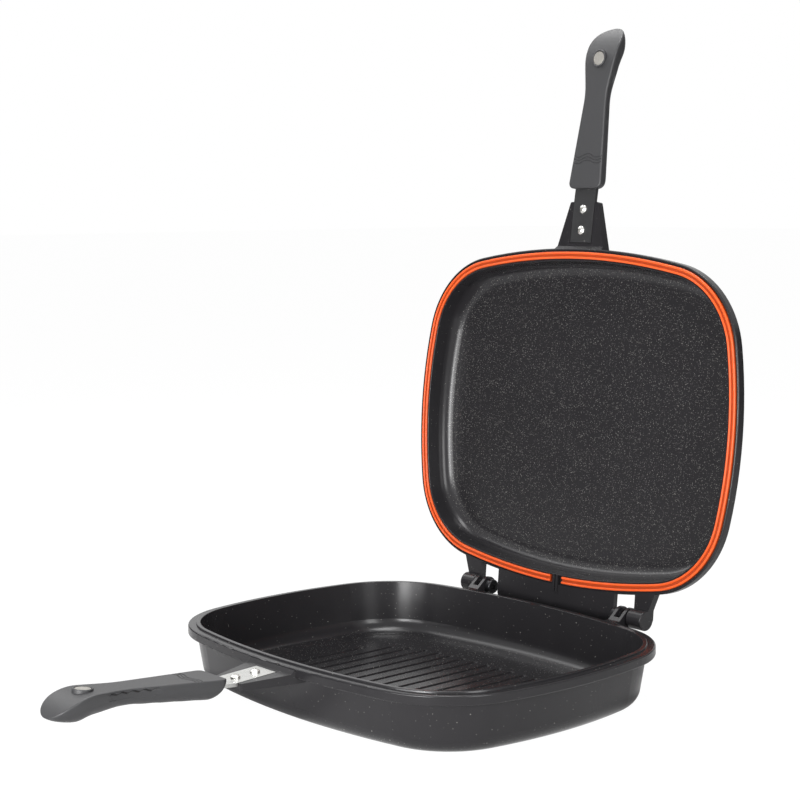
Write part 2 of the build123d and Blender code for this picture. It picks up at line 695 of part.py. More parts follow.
def hinge_bolt():
    """Shoulder bolt on the right: head inside the lug, thread in the lid's barrel."""
    head_face = LUG_INNER_FACE - HINGE_GAP - SPRING_WASHER_THICKNESS
    head = disc_along_x(BOLT_HEAD_RADIUS, head_face - BOLT_HEAD_HEIGHT, head_face)
    rim = head.edges().filter_by(GeomType.CIRCLE).sort_by(Axis.X)[0]
    head = fillet(rim, BOLT_HEAD_EDGE)
    shoulder = disc_along_x(BOLT_SHOULDER_RADIUS, head_face, BARREL_INNER_FACE)
    thread_end = BARREL_INNER_FACE + BOLT_THREAD_LENGTH
    thread = disc_along_x(BOLT_THREAD_RADIUS, BARREL_INNER_FACE, thread_end)
    outer = head_face - BOLT_HEAD_HEIGHT
    hexagon = RegularPolygon(DRIVER_RECESS_RADIUS, side_count=6)
    recess_plane = Plane(origin=(outer, HINGE_Y, HINGE_Z), x_dir=(0, 1, 0), z_dir=(1, 0, 0))
    recess = extrude(recess_plane * hexagon, amount=DRIVER_RECESS_DEPTH)
    return head + shoulder + thread - recess


def thrust_washer():
    """Plain washer between the lug and the barrel, seated on the barrel."""
    start = BARREL_INNER_FACE - THRUST_WASHER_THICKNESS
    ring = disc_along_x(THRUST_WASHER_RADIUS, start, BARREL_INNER_FACE)
    return ring - disc_along_x(BOLT_SHOULDER_RADIUS + THREAD_GAP, start, BARREL_INNER_FACE)


def spring_washer():
    """Split washer under the bolt head, seated on the head."""
    start = LUG_INNER_FACE - HINGE_GAP - SPRING_WASHER_THICKNESS
    end = LUG_INNER_FACE - HINGE_GAP
    ring = disc_along_x(SPRING_WASHER_RADIUS, start, end)
    ring -= disc_along_x(BOLT_SHOULDER_RADIUS + THREAD_GAP, start, end)
    slit = Pos((start + end) / 2, HINGE_Y, HINGE_Z) * Box(
        2 * SPRING_WASHER_THICKNESS, SPRING_WASHER_SLIT, 2 * SPRING_WASHER_RADIUS,
        align=(Align.CENTER, Align.CENTER, Align.MIN),
    )
    return ring - slit


def lock_nut():
    """Grooved hexagon nut on the bolt's shoulder, between the lug's plates."""
    start = LUG_INNER_FACE + LUG_PLATE_THICKNESS + HINGE_GAP
    length = NUT_SPACE - 2 * HINGE_GAP
    plane = Plane(origin=(start, HINGE_Y, HINGE_Z), x_dir=(0, 1, 0), z_dir=(1, 0, 0))
    corner_radius = LOCK_NUT_ACROSS_FLATS / math.sqrt(3)
    nut = extrude(plane * RegularPolygon(corner_radius, side_count=6), amount=length)
    round_off = disc_along_x(corner_radius, start, start + length)
    round_off = chamfer(round_off.edges().filter_by(GeomType.CIRCLE), LOCK_NUT_CHAMFER)
    middle = start + length / 2
    half_groove = LOCK_NUT_GROOVE_WIDTH / 2
    floor = LOCK_NUT_ACROSS_FLATS / 2 - LOCK_NUT_GROOVE_DEPTH
    groove = disc_along_x(corner_radius, middle - half_groove, middle + half_groove)
    groove -= disc_along_x(floor, middle - half_groove, middle + half_groove)
    bore = disc_along_x(BOLT_SHOULDER_RADIUS + THREAD_GAP, start, start + length)
    return (nut & round_off) - groove - bore


# ---- Lower pan --------------------------------------------------------------------
def lower_shell():
    """Flange, lip, drafted wall and floor of the lower pan."""
    flange_foot = LAND_TOP - FLANGE_HEIGHT
    lip_start = CAVITY_INSET - LIP_WIDTH
    cavity_foot = CAVITY_INSET + (LIP_TOP - FLOOR_THICKNESS) * math.tan(math.radians(INNER_DRAFT))
    wall_foot = FLANGE_OVERHANG + flange_foot * math.tan(math.radians(OUTER_DRAFT))
    section = rim_section(
        [
            (0, flange_foot, FLANGE_EDGE_RADIUS),
            (0, LAND_TOP, FLANGE_EDGE_RADIUS),
            (lip_start - LIP_SLOPE, LAND_TOP, 0),
            (lip_start, LIP_TOP, LIP_EDGE_RADIUS),
            (CAVITY_INSET, LIP_TOP, LIP_EDGE_RADIUS),
            (cavity_foot, FLOOR_THICKNESS, INNER_FOOT_RADIUS),
            (SLAB_INSET, FLOOR_THICKNESS, 0),
            (SLAB_INSET, 0, 0),
            (wall_foot, 0, OUTER_FOOT_RADIUS),
            (FLANGE_OVERHANG, flange_foot, FLANGE_ROOT_RADIUS),
        ]
    )
    slab = extrude(outline_face(SLAB_INSET), amount=FLOOR_THICKNESS)
    return carry_round(section) + slab


def grill_grooves():
    """Cutters of the grill grooves, shorter toward the ends of their rounded field."""
    radius = (GROOVE_WIDTH**2 / 4 + GROOVE_DEPTH**2) / (2 * GROOVE_DEPTH)
    cutters = []
    for number in range(-GROOVES_EACH_SIDE, GROOVES_EACH_SIDE + 1):
        x = number * GROOVE_PITCH
        share = 1 - (abs(x) / GROOVE_FIELD_HALF_LENGTH) ** GROOVE_FIELD_POWER
        half_length = GROOVE_FIELD_HALF_WIDTH * share ** (1 / GROOVE_FIELD_POWER)
        straight = 2 * (half_length - GROOVE_WIDTH / 2)
        middle = FLOOR_THICKNESS - GROOVE_DEPTH + radius
        bar = Pos(x, 0, middle) * Rot(90, 0, 0) * Cylinder(radius, straight)
        ends = [Pos(x, side * straight / 2, middle) * Sphere(radius) for side in (-1, 1)]
        cutters += [bar] + ends
    return Part() + cutters


def apron():
    """Shelf behind the rear rim: it catches drips and stops the lid's skirt."""
    top = LAND_TOP - FLANGE_HEIGHT + APRON_THICKNESS
    bottom = LAND_TOP - FLANGE_HEIGHT
    lean = math.tan(math.radians(OPEN_ANGLE - 90))
    reach = STOP_BEHIND_AXIS / math.cos(math.radians(OPEN_ANGLE - 90))
    root = HALF_WIDTH - FLANGE_OVERHANG
    stop_top = HINGE_Y + reach - (HINGE_Z - top) * lean
    stop_bottom = HINGE_Y + reach - (HINGE_Z - bottom) * lean
    trough_floor = top - TROUGH_DEPTH
    profile = make_face(
        Polyline(
            (root, bottom),
            (root, top),
            (HALF_WIDTH + TROUGH_WALL, top),
            (HALF_WIDTH + 2 * TROUGH_WALL, trough_floor),
            (stop_top - 2 * TROUGH_WALL, trough_floor),
            (stop_top - TROUGH_WALL, top),
            (stop_top, top),
            (stop_bottom, bottom),
            close=True,
        )
    )
    body = extrude(side_plane(0) * profile, amount=APRON_HALF_LENGTH, both=True)
    plan = Pos(0, root) * RectangleRounded(
        2 * APRON_HALF_LENGTH, 2 * (stop_top - root), APRON_CORNER_RADIUS
    )
    return body & extrude(plan, amount=LIP_TOP)


def lip_notch():
    """Cutter of the notch in the lip at the rear, in line with the lid's vent tab."""
    plan = make_face(
        Polyline(
            (-NOTCH_WIDTH / 2, 0),
            (-NOTCH_FLOOR_WIDTH / 2, -LIP_RISE),
            (NOTCH_FLOOR_WIDTH / 2, -LIP_RISE),
            (NOTCH_WIDTH / 2, 0),
            (NOTCH_WIDTH / 2, LIP_RISE),
            (-NOTCH_WIDTH / 2, LIP_RISE),
            close=True,
        )
    )
    upright = Plane(
        origin=(VENT_OFFSET, HALF_WIDTH - CAVITY_INSET, LIP_TOP),
        x_dir=(1, 0, 0),
        z_dir=(0, -1, 0),
    )
    return extrude(upright * plan, amount=LIP_WIDTH + LIP_SLOPE, both=True)


def lower_pan():
    """Lower pan casting."""
    body = lower_shell() - grill_grooves() - lip_notch()
    bracket = bracket_blank() - screw_holes(SCREW_SHANK_RADIUS + THREAD_GAP, SCREW_LENGTH)
    return body + apron() + mirror_pair(lower_lug()) + bracket


# ---- Upper pan and gasket ---------------------------------------------------------
def lid_section(corners):
    """Rim section of the lid, with insets measured from its own edge."""
    return rim_section([(inset - LID_OVERHANG, z, radius) for inset, z, radius in corners])


def lid_shell():
    """Flange, drafted wall and crown of the upper pan, shut."""
    outer_top = SEAL_PLANE + LID_DEPTH
    inner_top = outer_top - LID_THICKNESS
    flange_top = LID_RIM + LID_FLANGE_HEIGHT
    wall_foot = FLANGE_OVERHANG + (outer_top - flange_top) * math.tan(math.radians(OUTER_DRAFT))
    cavity_foot = LID_CAVITY_INSET + (inner_top - LID_RIM) * math.tan(math.radians(INNER_DRAFT))
    section = lid_section(
        [
            (0, LID_RIM, FLANGE_EDGE_RADIUS),
            (0, flange_top, FLANGE_EDGE_RADIUS),
            (FLANGE_OVERHANG, flange_top, FLANGE_ROOT_RADIUS),
            (wall_foot, outer_top, LID_OUTER_FOOT_RADIUS),
            (SLAB_INSET, outer_top, 0),
            (SLAB_INSET, inner_top, 0),
            (cavity_foot, inner_top, LID_INNER_FOOT_RADIUS),
            (LID_CAVITY_INSET, LID_RIM, LIP_EDGE_RADIUS),
        ]
    )
    crown = extrude(
        Pos(0, 0, inner_top) * outline_face(SLAB_INSET - LID_OVERHANG), amount=LID_THICKNESS
    )
    return carry_round(section) + crown


def gasket_mouth():
    """Cutter that opens the gasket at the rear."""
    return Pos(VENT_OFFSET, HALF_WIDTH, LID_RIM) * Box(
        GASKET_MOUTH, 4 * GASKET_WIDTH, 4 * CHANNEL_DEPTH
    )


def gasket_channel():
    """Cutter of the gasket's channel, apart from where the vent tab stands."""
    section = lid_section(
        [
            (GASKET_INSET, LID_RIM - CHANNEL_DEPTH, 0),
            (GASKET_INSET, LID_RIM + CHANNEL_DEPTH, 0),
            (GASKET_INSET + GASKET_WIDTH, LID_RIM + CHANNEL_DEPTH, 0),
            (GASKET_INSET + GASKET_WIDTH, LID_RIM - CHANNEL_DEPTH, 0),
        ]
    )
    return carry_round(section) - vent_tab()


def gasket():
    """Silicone ring with two ribs, seated in the lid's channel and open at the vent."""
    inner = GASKET_INSET + GASKET_WIDTH - GASKET_SIDE_GAP
    outer = GASKET_INSET + GASKET_SIDE_GAP
    valley = SEAL_PLANE + RIB_HEIGHT
    section = lid_section(
        [
            (outer, LID_RIM + CHANNEL_DEPTH, 0),
            (inner, LID_RIM + CHANNEL_DEPTH, 0),
            (inner, SEAL_PLANE, RIB_EDGE_RADIUS),
            (inner - RIB_WIDTH, SEAL_PLANE, RIB_EDGE_RADIUS),
            (inner - RIB_WIDTH - RIB_EDGE_RADIUS, valley, 0),
            (outer + RIB_WIDTH + RIB_EDGE_RADIUS, valley, 0),
            (outer + RIB_WIDTH, SEAL_PLANE, RIB_EDGE_RADIUS),
            (outer, SEAL_PLANE, RIB_EDGE_RADIUS),
        ]
    )
    return carry_round(section) - gasket_mouth()


def skirt():
    """Plate behind the lid's rim that stands on the apron's edge when the lid is open."""
    root = HALF_WIDTH - FLANGE_OVERHANG
    end = HINGE_Y + SKIRT_BEHIND_AXIS
    profile = make_face(
        FilletPolyline(
            (root, LID_RIM),
            (end, LID_RIM),
            (end, LID_RIM + SKIRT_THICKNESS),
            (root, LID_RIM + SKIRT_THICKNESS),
            radius=[0, SKIRT_EDGE_RADIUS, SKIRT_EDGE_RADIUS, 0],
            close=True,
        )
    )
    plate = extrude(side_plane(0) * profile, amount=SKIRT_HALF_LENGTH, both=True)
    plan = Pos(0, root) * RectangleRounded(
        2 * SKIRT_HALF_LENGTH, 2 * (end - root), SKIRT_CORNER_RADIUS
    )
    return plate & extrude(plan, amount=2 * LID_RIM)


def vent_tab():
    """Split tab through the gasket's mouth that tapers off onto the skirt."""
    start = HALF_WIDTH - CAVITY_INSET + LIP_EDGE_RADIUS
    end = HALF_WIDTH + VENT_TAB_END
    proud = LID_RIM - VENT_TAB_PROUD
    profile = make_face(
        Polyline(
            (start, proud),
            (end - VENT_TAB_TAPER, proud),
            (end, LID_RIM),
            (end, LID_RIM + CHANNEL_DEPTH),
            (start, LID_RIM + CHANNEL_DEPTH),
            close=True,
        )
    )
    tab = extrude(side_plane(VENT_OFFSET) * profile, amount=VENT_TAB_WIDTH / 2, both=True)
    slot = Pos(VENT_OFFSET, start, proud) * Box(
        VENT_SLOT_WIDTH,
        2 * (end - start),
        2 * VENT_SLOT_DEPTH,
    )
    return tab - slot


def parting_mirror(part):
    """A part made in the lower pan's place, turned over to the shut lid's side."""
    return mirror(part, about=Plane.XY.offset(PARTING))


def upper_pan():
    """Upper pan casting, shut."""
    bracket = bracket_blank() - screw_holes(SCREW_SHANK_RADIUS + THREAD_GAP, SCREW_LENGTH)
    body = lid_shell() + skirt() + mirror_pair(lid_arm()) + parting_mirror(bracket)
    return body - gasket_channel() + vent_tab()


def swing_open(part):
    """Turn a part of the lid from shut to open."""
    return part.rotate(HINGE_AXIS, -OPEN_ANGLE)


def pieces():
    """Every piece at rest, by name."""
    right_bolt = swing_open(hinge_bolt())
    right_thrust = swing_open(thrust_washer())
    right_spring = swing_open(spring_washer())
    right_nut = swing_open(lock_nut())
    return {
        "lower_pan": lower_pan(),
        "lower_tongue": tongue(-1),
        "lower_tongue_screws": bracket_screws(),
        "lower_grip": grip(-1),
        "lower_grip_screw": grip_screw(-1),
        "lower_magnet": magnet(-1),
        "upper_pan": swing_open(upper_pan()),
        "gasket": swing_open(gasket()),
        "upper_tongue": swing_open(parting_mirror(tongue(1))),
        "upper_tongue_screws": swing_open(parting_mirror(bracket_screws())),
        "upper_grip": swing_open(parting_mirror(grip(1))),
        "upper_grip_screw": swing_open(parting_mirror(grip_screw(1))),
        "upper_magnet": swing_open(parting_mirror(magnet(1))),
        "hinge_bolt_right": right_bolt,
        "hinge_bolt_left": mirror(right_bolt, about=Plane.YZ),
        "thrust_washer_right": right_thrust,
        "thrust_washer_left": mirror(right_thrust, about=Plane.YZ),
        "spring_washer_right": right_spring,
        "spring_washer_left": mirror(right_spring, about=Plane.YZ),
        "lock_nut_right": right_nut,
        "lock_nut_left": mirror(right_nut, about=Plane.YZ),
    }


os.makedirs("parts", exist_ok=True)
for name, piece in pieces().items():
    export_step(piece, f"parts/{name}.step")
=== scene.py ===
"""Looks of a double sided flip pan: coated castings, a silicone seal, moulded grips and steel."""

from __future__ import annotations

import logging
import math
from dataclasses import dataclass
from enum import Enum
from typing import Any, Iterable, Sequence

import bmesh
import bpy
from bpy.types import Curve, Material, Mesh, Node, NodeSocket, NodeTree
from mathutils import Matrix, Vector


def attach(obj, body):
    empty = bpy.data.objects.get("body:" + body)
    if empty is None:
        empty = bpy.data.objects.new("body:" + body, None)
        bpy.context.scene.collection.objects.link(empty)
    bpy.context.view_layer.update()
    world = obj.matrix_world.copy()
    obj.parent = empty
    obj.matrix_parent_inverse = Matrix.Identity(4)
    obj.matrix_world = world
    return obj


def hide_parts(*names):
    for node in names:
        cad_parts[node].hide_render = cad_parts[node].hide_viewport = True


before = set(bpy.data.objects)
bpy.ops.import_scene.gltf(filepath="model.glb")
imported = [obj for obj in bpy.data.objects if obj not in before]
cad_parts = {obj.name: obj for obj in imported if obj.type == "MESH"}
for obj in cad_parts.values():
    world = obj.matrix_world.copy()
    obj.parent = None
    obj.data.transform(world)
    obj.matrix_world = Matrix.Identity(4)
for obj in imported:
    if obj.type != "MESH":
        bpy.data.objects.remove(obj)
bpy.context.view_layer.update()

LOG = logging.getLogger("flip_pan")
MM = 0.001

# Octaves of the noises: broad clouds and stains, and fine grain.
CLOUD_DETAIL = 5.0
GRAIN_DETAIL = 2.0

# Least divisor, where a length may be zero.
NEARLY_ZERO = 1e-6

# Attribute of a mesh that carries painted shade: one in its hollows and grooves, where the colour
# is darkened to stand in for the shade that falls there.
PAINTED_SHADE = "hollow"


# ---------------------------------------------------------------- nodes, colours and scales
def linear(code: str) -> tuple[float, float, float, float]:
    """Turn an sRGB hex colour into the linear colour that shaders take.

    Args:
        code: Six hex digits, with or without a leading hash.

    Returns:
        Linear red, green, blue and an alpha of one.
    """
    digits = code.lstrip("#")
    values = [int(digits[place : place + 2], 16) / 255 for place in (0, 2, 4)]
    red, green, blue = (
        value / 12.92 if value <= 0.04045 else ((value + 0.055) / 1.055) ** 2.4
        for value in values
    )
    return red, green, blue, 1.0


def add_node(tree: NodeTree, kind: str, *values: Any, **named: Any) -> Node:
    """Add a node with its settings, values and incoming links.

    Args:
        tree: Tree that gets the node.
        kind: Blender's identifier of the node type.
        values: Inputs by place, from the first on.
        named: A setting where the name is in lower case, and otherwise an input, with an
            underscore for each space of its name. A socket as value is linked, a node links
            its first output in use, each member of a list is linked, and the rest is set.

    Returns:
        The new node.
    """
    node = tree.nodes.new(kind)
    inputs: dict[int | str, Any] = dict(enumerate(values))
    for name, value in named.items():
        if name.islower():
            setattr(node, name, value)
        else:
            inputs[name.replace("_", " ")] = value
    for key, value in inputs.items():
        for link in value if isinstance(value, list) else [value]:
            if isinstance(link, Node):
                link = next(output for output in link.outputs if output.enabled)
            if isinstance(link, NodeSocket):
                tree.links.new(link, node.inputs[key])
            else:
                node.inputs[key].default_value = link
    return node


def chain(tree: NodeTree, value: Any, *steps: tuple, kind: str = "ShaderNodeMath") -> Node:
    """Pass a value through a row of nodes, each linked to the one before.

    Args:
        tree: Tree that gets the nodes.
        value: First input of the first node.
        steps: For each node its operation and its other inputs.
        kind: Identifier of the nodes' type.

    Returns:
        The last node.
    """
    for operation, *others in steps:
        value = add_node(tree, kind, value, *others, operation=operation)
    return value


def emptied_tree(owner: Material | bpy.types.World) -> NodeTree:
    """Let a material or world use nodes, and return its tree with none in it."""
    owner.use_nodes = True
    owner.node_tree.nodes.clear()
    return owner.node_tree


def per_metre(size_mm: float) -> float:
    """Texture scale that makes one cell or wave as long as a real size in millimetres."""
    return 1.0 / (size_mm * MM)


def eased(share: float) -> float:
    """Share held between zero and one, with a soft start and end."""
    held = min(1.0, max(0.0, share))
    return held * held * (3 - 2 * held)


# ---------------------------------------------------------------- bodies and places
class Body(Enum):
    """The two bodies that pieces ride on."""

    LOWER = "lower"
    UPPER = "upper"


@dataclass(frozen=True)
class Layout:
    """Levels and lines that the pieces share, in millimetres, with the lid shut.

    X runs along the hinge, Y from the handles to the hinge, and Z up.
    """

    half_length: float = 203.0
    half_width: float = 160.0
    lip_top: float = 54.0
    floor_top: float = 5.0
    seal_gap: float = 0.3
    gasket_proud: float = 1.2
    lid_floor_behind_rim: float = 25.2
    hinge_behind_rim: float = 14.3
    hinge_below_lip: float = 0.3
    open_angle_deg: float = 95.0

    @property
    def parting(self) -> float:
        """Height of the plane that the two halves mirror about."""
        return self.lip_top + self.seal_gap / 2

    @property
    def lid_rim(self) -> float:
        """Height of the lid's rim when shut."""
        return self.lip_top + self.seal_gap + self.gasket_proud

    def swing(self) -> Matrix:
        """Turn from the shut lid to the open one, in metres.

        Returns:
            The turn about the hinge's axis.
        """
        axis_y = self.half_width + self.hinge_behind_rim
        axis_z = self.lip_top - self.hinge_below_lip
        there = Matrix.Translation(Vector((0.0, axis_y, axis_z)) * MM)
        turn = Matrix.Rotation(-math.radians(self.open_angle_deg), 4, "X")
        return there @ turn @ there.inverted()

    def place(self, body: Body) -> Matrix:
        """Matrix from the lower half's place to a body's half at rest, in metres.

        Args:
            body: Body that the half belongs to.

        Returns:
            Nothing moved for the lower body; mirrored and swung open for the upper.
        """
        if body is Body.LOWER:
            return Matrix.Identity(4)
        mirror = Matrix.Scale(-1.0, 4, (0.0, 0.0, 1.0))
        up = Matrix.Translation((0.0, 0.0, 2 * self.parting * MM))
        return self.swing() @ up @ mirror


LAYOUT = Layout()


@dataclass(frozen=True)
class Outline:
    """The rim both pans share: bowed sides and ends joined by round corners, in millimetres."""

    half_length: float = LAYOUT.half_length
    half_width: float = LAYOUT.half_width
    side_bow: float = 425.0
    end_bow: float = 690.0
    corner: float = 87.0

    def arcs(self) -> list[tuple[Vector, float, float, float]]:
        """Work out the eight tangent arcs, counter-clockwise.

        Returns:
            For each arc its centre, radius, start angle and sweep in radians.
        """
        side = Vector((self.half_length - self.side_bow, 0.0))
        end = Vector((0.0, self.half_width - self.end_bow))
        from_side, from_end = self.side_bow - self.corner, self.end_bow - self.corner
        apart = end - side
        along = (from_side**2 - from_end**2 + apart.length**2) / (2 * apart.length)
        across = math.sqrt(from_side**2 - along**2)
        way = apart.normalized()
        corner = side + way * along + Vector((way.y, -way.x)) * -across
        side_half = math.atan2(corner.y - side.y, corner.x - side.x)
        end_half = math.pi / 2 - math.atan2(corner.y - end.y, corner.x - end.x)
        sweep = math.pi / 2 - side_half - end_half
        arcs = []
        for turn in (0.0, math.pi):
            flip = math.cos(turn)
            mirrored = Vector((-corner.x, corner.y)) * flip
            arcs.append((side * flip, self.side_bow, turn - side_half, 2 * side_half))
            arcs.append((corner * flip, self.corner, turn + side_half, sweep))
            arcs.append((end * flip, self.end_bow, turn + math.pi / 2 - end_half, 2 * end_half))
            arcs.append((mirrored, self.corner, turn + math.pi / 2 + end_half, sweep))
        return arcs

    def points(self, inset: float, step: float) -> list[Vector]:
        """Points along the closed outline.

        Args:
            inset: How far inside the rim the line runs.
            step: Longest distance between points.

        Returns:
            Points in the XY plane, the last one short of the first.
        """
        line = []
        for centre, radius, start, sweep in self.arcs():
            reach = radius - inset
            count = max(2, math.ceil(reach * sweep / step))
            for number in range(count):
                angle = start + sweep * number / count
                line.append(centre + Vector((math.cos(angle), math.sin(angle))) * reach)
        return line


# ---------------------------------------------------------------- meshes and node modifiers
def mesh_from(
    name: str, points: Iterable[Sequence[float]], faces: Iterable[Sequence[int]]
) -> Mesh:
    """Make a mesh.

    Args:
        name: The mesh's name.
        points: Its points, in millimetres.
        faces: The places of each face's corners among the points.

    Returns:
        The mesh, in metres.
    """
    mesh = bpy.data.meshes.new(name)
    mesh.from_pydata([tuple(value * MM for value in point) for point in points], [], list(faces))
    mesh.update()
    return mesh


# How near points lie that are merged, in metres: in a tree's result and in a grip's blank.
MERGE_RESULT = 1e-6
MERGE_BLANK = 1e-7


def merge_doubles(mesh: Mesh, distance: float, outward: bool = False) -> None:
    """Merge points of a mesh that lie together.

    Args:
        mesh: The mesh.
        distance: How near they lie, in metres.
        outward: Whether its faces are turned outward as well.
    """
    work = bmesh.new()
    work.from_mesh(mesh)
    bmesh.ops.remove_doubles(work, verts=work.verts, dist=distance)
    if outward:
        bmesh.ops.recalc_face_normals(work, faces=work.faces)
    work.to_mesh(mesh)
    work.free()


class NodeShape:
    """A mesh made by a Geometry Nodes tree that is built here and then applied."""

    def __init__(self, name: str) -> None:
        """Start an empty tree with its geometry sockets.

        Args:
            name: Name of the tree and of the mesh that it makes.
        """
        self.name = name
        self.values: dict[str, float | int] = {}
        self.tree = bpy.data.node_groups.new(name, "GeometryNodeTree")
        for way in ("INPUT", "OUTPUT"):
            self.tree.interface.new_socket(
                "Geometry", in_out=way, socket_type="NodeSocketGeometry"
            )
        self.entry = add_node(self.tree, "NodeGroupInput")

    def size(self, name: str, value: float | int) -> NodeSocket:
        """Add a named input for a size in metres or a count.

        Args:
            name: The input's name.
            value: What the modifier sets it to; a whole number makes a count.

        Returns:
            The input's socket inside the tree.
        """
        kind = "NodeSocketInt" if isinstance(value, int) else "NodeSocketFloat"
        self.tree.interface.new_socket(name, in_out="INPUT", socket_type=kind)
        self.values[name] = value
        return self.entry.outputs[name]

    def finish(
        self, geometry: Node, material: Material, base: Mesh | Curve | None = None,
        sharp_deg: float = 32.0,
    ) -> Mesh:
        """Close the tree, run it once on a base and keep the result as a plain mesh.

        Args:
            geometry: What the tree has made.
            material: Material that the tree sets.
            base: Mesh or curve that the modifier sits on, or None for an empty mesh.
            sharp_deg: Edges that turn by more than this stay crisp.

        Returns:
            The finished mesh, in metres.
        """
        real = add_node(self.tree, "GeometryNodeRealizeInstances", geometry)
        dressed = add_node(
            self.tree, "GeometryNodeSetMaterial", Geometry=real, Material=material
        )
        add_node(self.tree, "NodeGroupOutput", dressed)
        data = base or bpy.data.meshes.new(f"{self.name}_base")
        holder = bpy.data.objects.new(f"{self.name}_holder", data)
        bpy.context.scene.collection.objects.link(holder)
        modifier = holder.modifiers.new(self.name, "NODES")
        modifier.node_group = self.tree
        for item in self.tree.interface.items_tree:
            if item.in_out == "INPUT" and item.name in self.values:
                modifier[item.identifier] = self.values[item.name]
        graph = bpy.context.evaluated_depsgraph_get()
        mesh = bpy.data.meshes.new_from_object(holder.evaluated_get(graph), depsgraph=graph)
        mesh.name = self.name
        holder.modifiers.remove(modifier)
        bpy.data.objects.remove(holder)
        merge_doubles(mesh, MERGE_RESULT)
        for polygon in mesh.polygons:
            polygon.use_smooth = True
        mesh.set_sharp_from_angle(angle=math.radians(sharp_deg))
        return mesh


def put(
    name: str, mesh: Mesh, place: Matrix, body: Body, nodes: Sequence[str]
) -> None:
    """Set a finished mesh in its place as a piece of the pan.

    Args:
        name: The piece's name.
        mesh: Its mesh, in metres, in its own place.
        place: Matrix into the place at rest; the object itself stays at the origin.
        body: Body that it rides on.
        nodes: CAD nodes that it stands for.
    """
    mesh.transform(place)
    if place.determinant() < 0:
        mesh.flip_normals()
    piece = bpy.data.objects.new(name, mesh)
    bpy.context.scene.collection.objects.link(piece)
    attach(piece, body.value)
    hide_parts(*nodes)
    LOG.info("%s: %d faces on %s", name, len(mesh.polygons), body.value)


# ---------------------------------------------------------------- finishes
class Finish:
    """What every finish has: a name and a way to make its material."""

    name: str

    def make(self) -> Material:
        """Make the material once and let the finish fill its empty tree.

        Returns:
            The material.
        """
        if self.name in bpy.data.materials:
            return bpy.data.materials[self.name]
        material = bpy.data.materials.new(self.name)
        tree = emptied_tree(material)
        add_node(tree, "ShaderNodeOutputMaterial", Surface=self.build(tree))
        return material

    def build(self, tree: NodeTree) -> Node:
        """Add the finish's nodes and return its shader."""
        raise NotImplementedError


